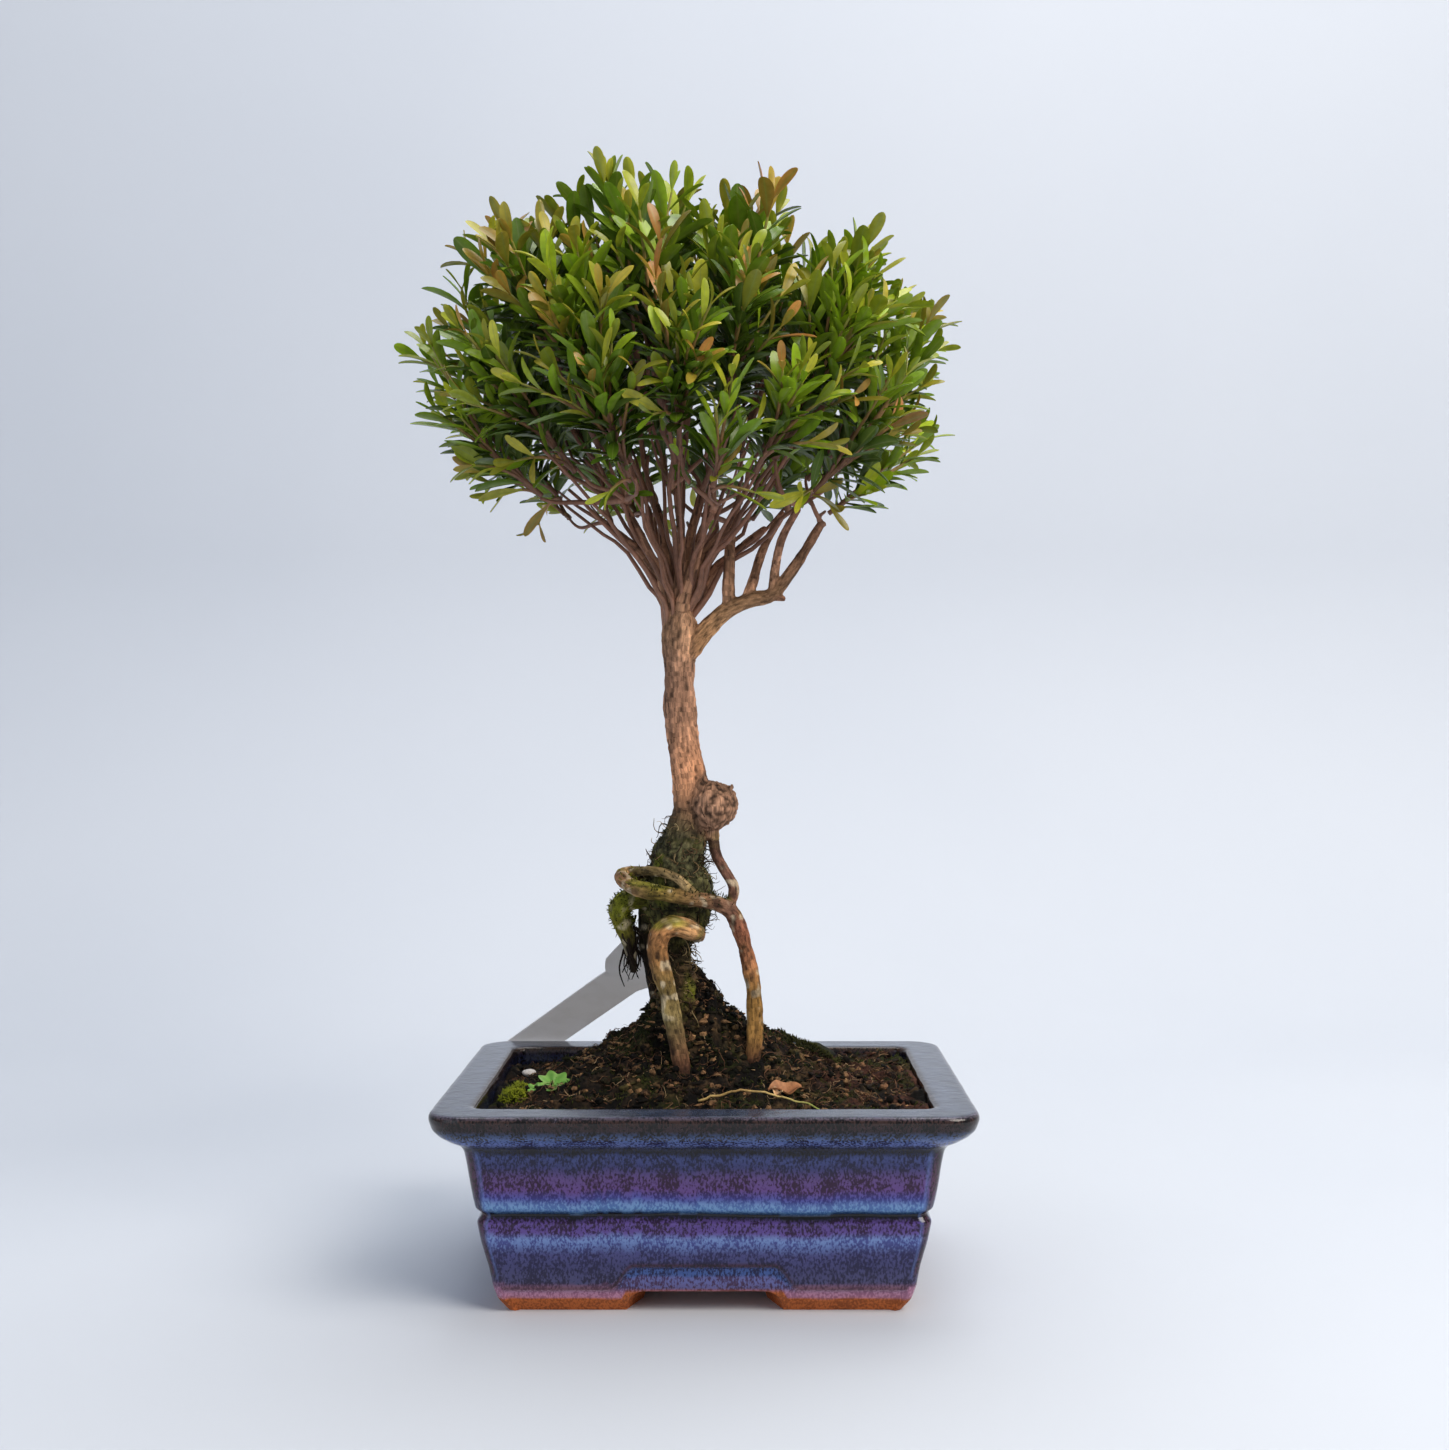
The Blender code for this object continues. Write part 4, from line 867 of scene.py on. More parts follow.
def strands(feet, ways, lengths, radii, curls, rng, sides=4, stations=7):
    """Fine fibres: each starts at its foot, runs its way and wanders sideways more and more."""
    t = np.linspace(0, 1, stations)
    count = len(feet)
    aside = unit(np.cross(ways, rng.normal(size=(count, 3))))
    other = np.cross(ways, aside)
    phase = rng.uniform(0, 2 * pi, (count, 1))
    wander, start = (aside[:, None] * np.sin(phase + 5 * at)[..., None]
                     + other[:, None] * np.cos(phase + 4 * at)[..., None] for at in (t, 0 * t[:1]))
    paths = (feet[:, None] + ways[:, None] * (lengths[:, None] * t)[..., None]
             + (wander - start) * (curls * lengths)[:, None, None])
    width = radii[:, None] * (1 - 0.6 * t)
    return tubes(paths, width, sides)


def soil_fibres(material):
    """Dead rootlets and bark fibres that lie over the soil, pale ones among the brown."""
    rng = np.random.default_rng(9)
    count = FIBRE_COUNT
    feet = scatter_on_soil(rng, count, 0.006) + (0, 0, 0.0004)
    ways = unit(np.column_stack([rng.normal(size=(count, 2)), rng.uniform(-0.1, 0.5, count)]))
    lengths = rng.uniform(0.0015, 0.0065, count)
    radii, curls = rng.uniform(0.00009, 0.00019, count), rng.uniform(0.1, 0.3, count)
    points, faces = strands(feet, ways, lengths, radii, curls, rng)
    high = ground(points[:, 0], points[:, 1])
    points[:, 2] = np.clip(points[:, 2], high - 0.0003, high + 0.0016)
    pick = np.repeat(rng.random(count), len(points) // count)
    tint = ramp(("#1c120c", "#3c281c", "#5c4030", "#644632", "#a88e6c"), pick ** 1.3)
    return painted("soil_fibres", points, faces, material, tint)


def blades(feet, ways, lengths, widths):
    """Moss leaflets: three-sided spikes that start wide and end in a point."""
    aside = unit(np.cross(ways, unit(ways + (0.3, 0.5, 0.1))))
    other = np.cross(ways, aside)
    turn = np.arange(3) * 2 * pi / 3
    ring = aside[:, None] * np.cos(turn)[None, :, None] + other[:, None] * np.sin(turn)[None, :, None]
    base = feet[:, None] + ring * widths[:, None, None]
    middle = feet[:, None] + ring * (0.8 * widths)[:, None, None] + (ways * 0.5 * lengths[:, None])[:, None]
    tip = (feet + ways * lengths[:, None])[:, None]
    points = np.concatenate([base, middle, tip], 1)
    quads = np.array(((0, 1, 4, 3), (1, 2, 5, 4), (2, 0, 3, 5)))
    points_up = np.array(((3, 4, 6), (4, 5, 6), (5, 3, 6), (2, 1, 0)))
    return points.reshape(-1, 3), repeat_faces([quads, points_up], len(feet), 7)


def moss_tufts(material):
    """Moss over the mound and in patches on the flat soil."""
    rng = np.random.default_rng(12)
    centres = np.vstack([scatter_on_soil(rng, 900), scatter_on_soil(rng, 2400)])
    run = (centres[:, :2] - (MOUND_X, MOUND_Y)) / (0.027, 0.022)
    near = np.exp(-0.5 * (run ** 2).sum(-1))
    patch = smooth(noise(centres * (1, 1, 0), 0.009, 36), 0.0, 0.4)
    centres = centres[rng.random(len(centres)) < 0.15 + 0.55 * near + 0.5 * patch]
    feet = np.repeat(centres, TUFT, 0)
    feet = feet + rng.normal(size=feet.shape) * (0.0006, 0.0006, 0.0002)
    feet[:, 2] = ground(feet[:, 0], feet[:, 1]) - 0.0002
    ways = unit(rng.normal(size=feet.shape) * (0.6, 0.6, 0.3) + (0, 0, 0.8))
    lengths, widths = rng.uniform(0.0005, 0.0017, len(feet)), rng.uniform(0.0001, 0.0002, len(feet))
    points, faces = blades(feet, ways, lengths, widths)
    lit = np.repeat(rng.random(len(centres)), len(points) // len(centres))
    tip = np.tile(np.r_[np.zeros(3), np.full(3, 0.4), 1.0], len(feet))
    tint = ramp(("#0e1007", "#1c200c", "#30360f", "#5a641a"), 0.1 + 0.45 * lit + 0.4 * tip)
    return painted("moss_tufts", points, faces, material, tint)


# ---- Wood --------------------------------------------------------------------------
def limb_curves():
    """Each limb leaves the trunk's head, bends out and ends at its knuckle."""
    fork = in_pot(FORK)
    ways = spread(LIMB_COUNT, LIMB_LEAST, LIMB_TURN)
    start = np.broadcast_to(in_pot(LIMB_ROOT), ways.shape)
    bend = fork + (ways + UP) * LIMB_REACH / 5
    share = np.broadcast_to(np.linspace(0, 1, 14), (LIMB_COUNT, 14))
    paths = bezier(start, bend, fork + ways * LIMB_REACH, share)
    sway = np.stack([noise(paths, 0.013, 90 + k) for k in range(3)], -1)
    paths = paths + 0.0024 * sway * np.sin(share * pi)[..., None]
    radii = LIMB_THICK + (LIMB_THIN - LIMB_THICK) * share + 0.0015 * (1 - share) ** 3
    return paths, radii


def knuckles():
    """The ends of the limbs and of the right branch's forks, where branchlets start."""
    limbs, _ = limb_curves()
    forks = [in_pot(rows[-1]) for rows in (RIGHT_BRANCH[0], *RIGHT_FORKS[:3])]
    return np.vstack([limbs[:, -1], forks])


def branchlets(ways):
    """Start, bend and end of each branchlet: from the nearest knuckle to the foot of a leafy twig."""
    fork = in_pot(FORK)
    foot = fork + ways * TWIG_REACH
    ends = knuckles()
    gap = np.linalg.norm(foot[:, None] - ends[None], axis=-1)
    near = ends[np.argmin(gap, axis=1)]
    bend = 0.5 * (foot - ways * 0.5 * np.min(gap, axis=1)[:, None]) + 0.25 * (near + foot)
    return near, bend, foot


def wood_shapes():
    """Every thick stem as (path, radii, colours): roots, trunk, bulb, branch, forks and limbs."""
    stems = []
    for rows, codes in (ROOT_CORE, TRUNK, WRAP_ROOT, UPPER_ROOT, FRONT_ROOT, LOOP_ROOT, BACK_ROOT, THIN_ROOT,
                        RIGHT_BRANCH, *((fork, LIMB_COLOURS) for fork in RIGHT_FORKS)):
        path, radii = catmull(rows, 8)
        stems.append((path, radii, ramp(codes, np.linspace(0, 1, len(path)))))
    level = np.linspace(0.06, 0.94, 16) * pi
    centre = in_pot(BULB[1])
    path = centre - np.cos(level)[:, None] * UP * BULB[1][3] * MM
    stems.append((path, np.sin(level) * BULB[1][3] * MM, ramp(BULB_COLOURS, level / pi)))
    paths, radii = limb_curves()
    stems.extend((path, r, ramp(LIMB_COLOURS, np.linspace(0, 1, len(path)))) for path, r in zip(paths, radii))
    return stems


def relax(points, edges, rounds):
    """Smooth a mesh without shrinking it: points move towards their neighbours' mean, then back a little."""
    count = np.bincount(edges.ravel(), minlength=len(points))[:, None]
    for turn in range(rounds):
        total = np.zeros_like(points)
        for k in range(3):
            total[:, k] = (np.bincount(edges[:, 0], points[edges[:, 1], k], len(points))
                           + np.bincount(edges[:, 1], points[edges[:, 0], k], len(points)))
        points = points + (0.55 if turn % 2 == 0 else -0.5) * (total / count - points)
    return points


def bark_coordinates(points, stems):
    """For each point the nearest stem's colour, its distance along and round that stem, and its radius.

    Nearness is distance over radius, and the colours of near stems are blended.
    """
    centre = np.concatenate([path for path, _, _ in stems])
    radius = np.concatenate([radii for _, radii, _ in stems])
    tints = np.concatenate([tint for _, _, tint in stems])
    along, aside, upward = [], [], []
    for path, _, _ in stems:
        steps = np.linalg.norm(np.diff(path, axis=0), axis=1)
        along.append(np.r_[0, np.cumsum(steps)] + 0.13 * len(along))
        _, side, rise = frames(path[None])
        aside.append(side[0])
        upward.append(rise[0])
    along, aside, upward = np.concatenate(along), np.concatenate(aside), np.concatenate(upward)
    tint = np.empty_like(points)
    nearest = np.empty(len(points), int)
    for start in range(0, len(points), 8000):
        chunk = points[start:start + 8000]
        gap = np.linalg.norm(chunk[:, None] - centre[None], axis=-1) / radius
        nearest[start:start + 8000] = np.argmin(gap, axis=1)
        weight = np.exp(-9 * (gap - gap.min(1, keepdims=True)))
        tint[start:start + 8000] = weight @ tints / weight.sum(1, keepdims=True)
    out = points - centre[nearest]
    turn = np.arctan2((out * upward[nearest]).sum(-1), (out * aside[nearest]).sum(-1))
    return tint, along[nearest], turn, radius[nearest]


def bark_wood(material):
    """Roots, trunk and limbs swept as tubes, melted into one skin, smoothed, then given their bark.

    The bark's relief is noise drawn out along each stem, knobs, and loose fibrous lumps on the root mass.
    """
    stems = wood_shapes()
    parts = [tubes(path[None], radii[None], 20) for path, radii, _ in stems]
    spur_path, spur_radii = catmull(((5.5, -3, 92, 1.6), (8.6, -4, 94.4, 0.8)), 3)
    parts.append(tubes(spur_path[None], spur_radii[None], 8))
    points, faces = join(parts)
    wood = make_object("bark_wood", points, [(f, 0) for f in faces], [])
    melt = wood.modifiers.new("melt", "REMESH")
    melt.mode = "VOXEL"
    melt.voxel_size = VOXEL
    apply_modifiers(wood)
    mesh = wood.data
    points = read(mesh.vertices, "co", 3).astype(float)
    points = relax(points, read(mesh.edges, "vertices", 2, np.int32), 6)
    mesh.vertices.foreach_set("co", points.astype(np.float32).ravel())
    mesh.update()
    normals = read(mesh.vertex_normals, "vector", 3)

    tint, along, turn, radius = bark_coordinates(points, stems)
    round_way = np.stack([np.cos(turn), np.sin(turn)], -1) * radius[:, None]
    grain = np.column_stack([round_way, along])
    above = points[:, 2] - POT_HEIGHT
    mass = smooth(above, 0.038, 0.046) * (1 - smooth(above, 0.076, 0.084)) * (radius > 0.0046) + (
        above < 0.040) * (radius > 0.0044)
    ball = np.linalg.norm(points - in_pot(BULB[1]), axis=1) < 0.0093
    fissure = np.where(ball, 1.7 * noise(points, 0.0012, 40) + 0.7 * noise(points, 0.0006, 39),
                       0.8 * noise(grain * (1, 1, 0.22), 0.0010, 41) + 0.7 * noise(points, 0.0012, 42))
    knobs = noise(points, 0.0065, 43)
    fluff = np.abs(noise(points, 0.0022, 44)) + 0.6 * np.abs(noise(points, 0.0011, 45))
    scale = np.clip(radius / 0.004, 0.25, 1.2)
    relief = 0.00024 * fissure + 0.00060 * knobs + 0.00025 * noise(points, 0.0031, 49)
    push = scale * relief * (1 - mass) + mass * (0.0013 * fluff - 0.0004)
    points = points + normals * push[:, None]

    from_middle = np.hypot(points[:, 1], points[:, 0] - POT_X)
    # Wood low down towards the soil, off the root mass and away from the middle.
    near_soil = smooth(-above, -0.016, 0.002) * (1 - mass) * smooth(from_middle, 0, 0.01)
    # Colour follows the relief: ridges and knobs lighter, furrows and dips darker, the deepest furrows darker
    # still. Partly the bark's own darker furrows, partly painted shade in the hollows.
    tint = tint * (1 + 0.36 * fissure[:, None] * (1 - mass[:, None])) * (1 + 0.30 * knobs[:, None])
    tint = tint * (1 - 0.55 * (smooth(-fissure, 0.35, 1.0) * (1 - mass))[:, None])
    # Painted shade: the trunk above the bulb is darkened on its left side, away from the light.
    left = smooth(-(points[:, 0] - in_pot((-8, 0, 0))[0]), -0.002, 0.005) * smooth(above, 0.08, 0.10)
    tint = tint * (1 - 0.16 * left[:, None])
    # Painted shade and light on the root mass: near-black where its fibrous lumps sink in, lighter where they
    # stand out.
    tint = tint * (1 - mass[:, None] * (0.95 - 2.3 * np.clip(fluff, 0, 0.9))[:, None])
    moss = smooth(noise(points, 0.006, 46) + 0.5 * normals[:, 2], 0.15, 0.75)
    band = smooth(above, 0.040, 0.046) * (1 - smooth(above, 0.068, 0.078))
    moss = moss * np.maximum(band * 0.75, 0.6 * mass)
    green = ramp(("#3a3d10", "#7f8424"), 0.5 + 0.5 * noise(points, 0.003, 47))
    tint = tint + (green - tint) * moss[:, None]
    lichen = smooth(noise(points, 0.0022, 48), 0.25, 0.6)
    lichen = lichen * smooth(above, 0.012, 0.03) * (1 - smooth(above, 0.066, 0.07))
    tint = toward(tint, "#c9b99a", 0.6 * lichen * (1 - mass) * (1 - moss))
    dirt = smooth(noise(points, 0.0028, 51) + 1.2 * near_soil, 0.35, 0.9) * (1 - mass) * (above < 0.062)
    tint = toward(tint, "#2c1c18", 0.6 * dirt)
    # Darker towards the bottom.
    tint = tint * (1 - 0.40 * near_soil[:, None])
    mesh.vertices.foreach_set("co", points.astype(np.float32).ravel())
    hold_colour(mesh, "tint", np.clip(tint, 0.002, 1))
    hold(mesh, "grain", grain)
    mesh.shade_smooth()
    mesh.materials.append(material)
    return wood


def fine_branches(ways, material):
    """The branchlets between the limbs' knuckles and the leafy twigs, and thinner ones beside them."""
    rng = np.random.default_rng(31)
    near, bend, foot = branchlets(ways)
    aims = unit(spread(WHIP_COUNT, radians(36), 2.0) + rng.normal(size=(WHIP_COUNT, 3)) * 0.05)
    fork = in_pot(FORK)
    near = np.vstack([near, in_pot(LIMB_ROOT) + aims * (0.004, 0.004, 0.008)])
    bend = np.vstack([bend, fork + (aims + UP) * 0.0055 + aims * 0.006])
    foot = np.vstack([foot, fork + aims * rng.uniform(0.050, 0.082, (WHIP_COUNT, 1))])
    stems = len(near)
    share = np.broadcast_to(np.linspace(-0.05, 1.02, 14), (stems, 14))
    paths = bezier(near, bend, foot, share)
    paths = paths + 0.0024 * np.stack([noise(paths, 0.010, 50 + k) for k in range(3)], -1)
    radii = np.linspace(TWIG_THICK * 1.1, TWIG_THICK * 0.5, 14) * rng.uniform(0.6, 1.1, (stems, 1))
    points, faces = tubes(paths, radii, 8)
    tint = np.tile(np.repeat(ramp(("#8e6650", "#7e5642", "#7a523e"), share[0]), 8, 0), (stems, 1))
    tint = tint * (1 + 0.35 * noise(points, 0.004, 55))[:, None]
    return painted("fine_branches", points, faces, material, tint, {"grain": points})


def root_fibres(material):
    """Loose rootlets: felted over the root mass, and hanging under the loop on the left."""
    rng = np.random.default_rng(21)
    count, hanging = ROOTLET_COUNT, HANGING_ROOTLETS
    share = rng.random(count)
    path, radii = catmull(ROOT_CORE[0], 8)
    at = share * 0.80 * (len(path) - 1) + 0.18 * (len(path) - 1)
    centre = np.stack([np.interp(at, np.arange(len(path)), path[:, k]) for k in range(3)], -1)
    reach = np.interp(at, np.arange(len(path)), radii)
    turn = rng.uniform(0, 2 * pi, count)
    out = np.column_stack([np.cos(turn), np.sin(turn), np.zeros(count)])
    feet = centre + out * (reach * 0.97)[:, None]
    ways = unit(rng.normal(size=(count, 3)) * (0.6, 0.6, 0.8) + out * 0.25)
    hang_feet = in_pot(np.column_stack([rng.uniform(-27.5, -22.5, hanging), rng.uniform(-2, 3, hanging),
                                        rng.uniform(40, 52, hanging)]))
    hang_ways = unit(rng.normal(size=(hanging, 3)) * 0.22 + (0.12, 0.05, -1))
    feet = np.vstack([feet, hang_feet])
    ways = np.vstack([ways, hang_ways])
    lengths = np.r_[rng.uniform(0.0025, 0.0065, count), rng.uniform(0.006, 0.013, hanging)]
    radii = np.r_[rng.uniform(0.00010, 0.00028, count), rng.uniform(0.0002, 0.0005, hanging)]
    curls = np.r_[rng.uniform(0.1, 0.35, count), np.full(hanging, 0.08)]
    points, faces = strands(feet, ways, lengths, radii, curls, rng)
    pick = np.repeat(np.r_[rng.random(count), np.full(hanging, 0.05)], len(points) // len(feet))
    tint = ramp(("#1c140e", "#2e2218", "#4c3a28", "#6a5438", "#9c8862"), pick)
    return painted("root_fibres", points, faces, material, tint)


def root_moss(material):
    """Moss leaflets on the root mass and on the bends of the roots round it."""
    rng = np.random.default_rng(23)
    feet, ways = [], []
    for rows, count, low, high, rise in (
            (ROOT_CORE[0], 2600, 0.15, 0.95, 0.2), (LOOP_ROOT[0], 900, 0.0, 0.62, 0.9),
            (WRAP_ROOT[0], 420, 0.16, 0.55, 1.2), (UPPER_ROOT[0], 160, 0.0, 1.0, 1.2)):
        path, radii = catmull(rows, 8)
        _, aside, upward = (way[0] for way in frames(path[None]))
        at = rng.uniform(low, high, count) * (len(path) - 1)
        index = at.astype(int)
        turn = rng.uniform(0, 2 * pi, count)
        out = aside[index] * np.cos(turn)[:, None] + upward[index] * np.sin(turn)[:, None]
        keep = out[:, 2] * rise + rng.random(count) > 0.45
        keep &= noise(path[index] + out * 0.004, 0.006, 46) > -0.35
        feet.append((path[index] + out * (radii[index] + 0.0001)[:, None])[keep])
        ways.append(unit(out + rng.normal(size=out.shape) * 0.4 + (0, 0, 0.25))[keep])
    feet, ways = np.vstack(feet), np.vstack(ways)
    lengths, widths = rng.uniform(0.0006, 0.0017, len(feet)), rng.uniform(0.00012, 0.00024, len(feet))
    points, faces = blades(feet, ways, lengths, widths)
    left = smooth(-(points[:, 0] - in_pot((-19, 0, 0))[0]), 0, 0.004)
    lit = np.repeat(rng.random(len(feet)), 7)
    tint = ramp(("#181a0b", "#2c2f12", "#464a18", "#7c801f"), 0.1 + 0.45 * lit + 0.45 * left)
    return painted("root_moss", points, faces, material, tint)


# ---- Leaves ------------------------------------------------------------------------
def crown_reach(ways):
    """Distance from the fork, along directions, to the crown's egg-shaped outside."""
    middle = np.array((POT_X + CROWN_X, 0, POT_HEIGHT + CROWN_RISE))
    c, s = cos(CROWN_TURN), sin(CROWN_TURN)
    turned = np.array(((c, s, 0), (-s, c, 0), (0, 0, 1)))
    fork = in_pot(FORK)
    reach = np.zeros(len(ways))
    for half_height in (CROWN_UP, CROWN_DOWN):
        scale = np.array((2 / CROWN_LENGTH, 2 / CROWN_DEPTH, 1 / half_height))
        start = (turned @ (fork - middle)) * scale
        run = (ways @ turned.T) * scale
        a = (run ** 2).sum(-1)
        b = run @ start
        root = b ** 2 - a * (start @ start - 1)
        far = (-b + np.sqrt(np.maximum(root, 0))) / a
        above = fork[2] + ways[:, 2] * far >= middle[2]
        fits = (root > 0) & (above == (half_height == CROWN_UP))
        reach = np.where(fits, np.maximum(reach, far), reach)
    return reach


LEAF_STATIONS = np.array((0, 0.08, 0.22, 0.38, 0.54, 0.70, 0.83, 0.93, 0.985, 1.0))


def leaves(feet, ways, faces_up, lengths, widths, bends):
    """Spatulate leaves, each a thin closed lens over a grid of stations and four sides.

    Half the width rises as a sine to its widest at LEAF_WIDEST, then rounds off as a root;
    the spine is an arc, and both halves rise from the midrib in a shallow V.
    """
    t = LEAF_STATIONS[None]
    rising = 0.13 + 0.87 * np.sin(np.clip(t / LEAF_WIDEST, 0, 1) * pi / 2) ** 1.5
    past = np.clip((t - LEAF_WIDEST) / (1 - LEAF_WIDEST), 0, 1)
    rounding = np.sqrt(np.clip(1 - past ** 2.4, 0, 1))
    half = widths[:, None] / 2 * rising * np.maximum(rounding, 0.10)
    bend = np.where(np.abs(bends) < 1e-3, 1e-3, bends)[:, None]
    run = lengths[:, None] * np.sin(bend * t) / bend
    drop = -lengths[:, None] * (1 - np.cos(bend * t)) / bend
    across = unit(np.cross(ways, faces_up))
    spine = feet[:, None] + ways[:, None] * run[..., None] + faces_up[:, None] * drop[..., None]
    thick = LEAF_THICKNESS / 2 * (1 + 1.2 * np.exp(-t * 9))
    wide = across[:, None] * half[..., None]
    rise = faces_up[:, None] * (0.30 * half)[..., None]
    above = faces_up[:, None] * (thick + 0 * half)[..., None]
    points = np.stack([spine - wide + rise, spine + above, spine + wide + rise, spine - above], 2)
    count, stations = points.shape[:2]
    return points.reshape(-1, 3), repeat_faces(capped(stations, 4), count, stations * 4)


def twig_curves(ways, rng):
    """Every leafy shoot as start, bend and end: main stems, then shoots spread over the crown's outside.

    Returns the curves, the spray that each belongs to, and its kind: 0 for a shoot, 1 for a steeply rising
    branchlet, 2 for another branchlet.
    """
    fork = in_pot(FORK)
    aims = spread(TWIG_COUNT, TWIG_LEAST, 1.0)
    aims = unit(aims + rng.normal(size=aims.shape) * 0.045)
    reach = crown_reach(aims)
    reach = np.where(reach > 0, reach, 0.060)
    ragged = 1 + 0.05 * noise(aims, 0.35, 61) + np.interp(aims[:, 2], (0.5, 0.66, 0.80, 0.93, 1),
                                                          (0.02, 0.05, 0.0, -0.05, 0.0))
    out = reach * ragged * rng.uniform(0.90, 1.02, len(aims)) - 0.74 * LEAF_LENGTH
    ends = fork + aims * np.maximum(out, TWIG_REACH + 0.002)[:, None]
    owner = np.argmax(aims @ ways.T, axis=1)
    stem = ways[owner]
    length = np.linalg.norm(ends - fork, axis=1)
    parting = TWIG_REACH + 0.0005 + rng.uniform(0, 0.42, len(aims)) * (length - TWIG_REACH)
    start = fork + stem * np.minimum(parting, length - 0.004)[:, None]
    gap = np.linalg.norm(ends - start, axis=1)[:, None]
    bend = start + (unit(ends - start) * 0.35 + stem * 0.5 + UP * 0.15) * gap * 0.5
    main_reach = np.maximum(crown_reach(ways), TWIG_REACH + 0.016) - 0.7 * LEAF_LENGTH
    main_end = fork + ways * main_reach[:, None]
    main_start = fork + ways * TWIG_REACH
    near, branch_bend, foot = branchlets(ways)
    starts = np.vstack([main_start, start, near])
    bends = np.vstack([(main_start + main_end) / 2 + UP * 0.001, bend, branch_bend])
    finish = np.vstack([main_end, ends, foot])
    owners = np.r_[np.arange(len(ways)), owner, np.arange(len(ways))]
    inner = np.r_[np.zeros(len(ways)), np.zeros(len(aims)), np.where(ways[:, 2] > 0.68, 1, 2)]
    return starts, bends, finish, owners, inner


def leaf_places(starts, bends, finish, inner, rng):
    """Feet and directions of crossed pairs of leaves, stepped back from each shoot's end."""
    shoots = len(starts)
    length = np.linalg.norm(finish - starts, axis=1)
    spacing = PAIR_SPACING * np.where(inner > 0, 1.25, 1.0) * rng.uniform(0.85, 1.2, shoots)
    back = np.arange(PAIRS)[None] * spacing[:, None] + rng.uniform(-0.0006, 0.0006, (shoots, PAIRS))
    share = 1 - np.maximum(back, 0) / np.maximum(length, 1e-4)[:, None]
    wanted = share > np.where(inner > 0, 0.25, 0.02)[:, None]
    wanted &= rng.random(wanted.shape) < np.choose(inner.astype(int), (0.96, 0.5, 0.06))[:, None]
    t = np.clip(share, 0, 1)
    place = bezier(starts, bends, finish, t)
    ahead = unit((bends - starts)[:, None] * (1 - t)[..., None] + (finish - bends)[:, None] * t[..., None])
    aside = unit(np.cross(ahead, UP + 0.01))
    other = np.cross(ahead, aside)
    turn = np.arange(PAIRS)[None] * pi / 2 + rng.uniform(0, pi, (shoots, 1))
    turn = turn + rng.normal(size=(shoots, PAIRS)) * 0.3
    order = np.broadcast_to(np.arange(PAIRS), (shoots, PAIRS))
    found = []
    for half in (0, pi):
        angle = turn + half
        out = aside * np.cos(angle)[..., None] + other * np.sin(angle)[..., None]
        open_by = np.radians(24 + 6.5 * np.minimum(order, 5)) + rng.normal(size=order.shape) * 0.13
        way = ahead * np.cos(open_by)[..., None] + out * np.sin(open_by)[..., None]
        way = unit(way + UP * 0.12 + rng.normal(size=way.shape) * 0.07)
        face = unit(ahead * np.sin(open_by)[..., None] - out * np.cos(open_by)[..., None]
                    + UP * 0.45 + rng.normal(size=way.shape) * 0.16)
        face = unit(face - way * (face * way).sum(-1, keepdims=True))
        found.append((place[wanted], way[wanted], face[wanted], order[wanted], np.nonzero(wanted)[0]))
    return [np.concatenate(column) for column in zip(*found)]


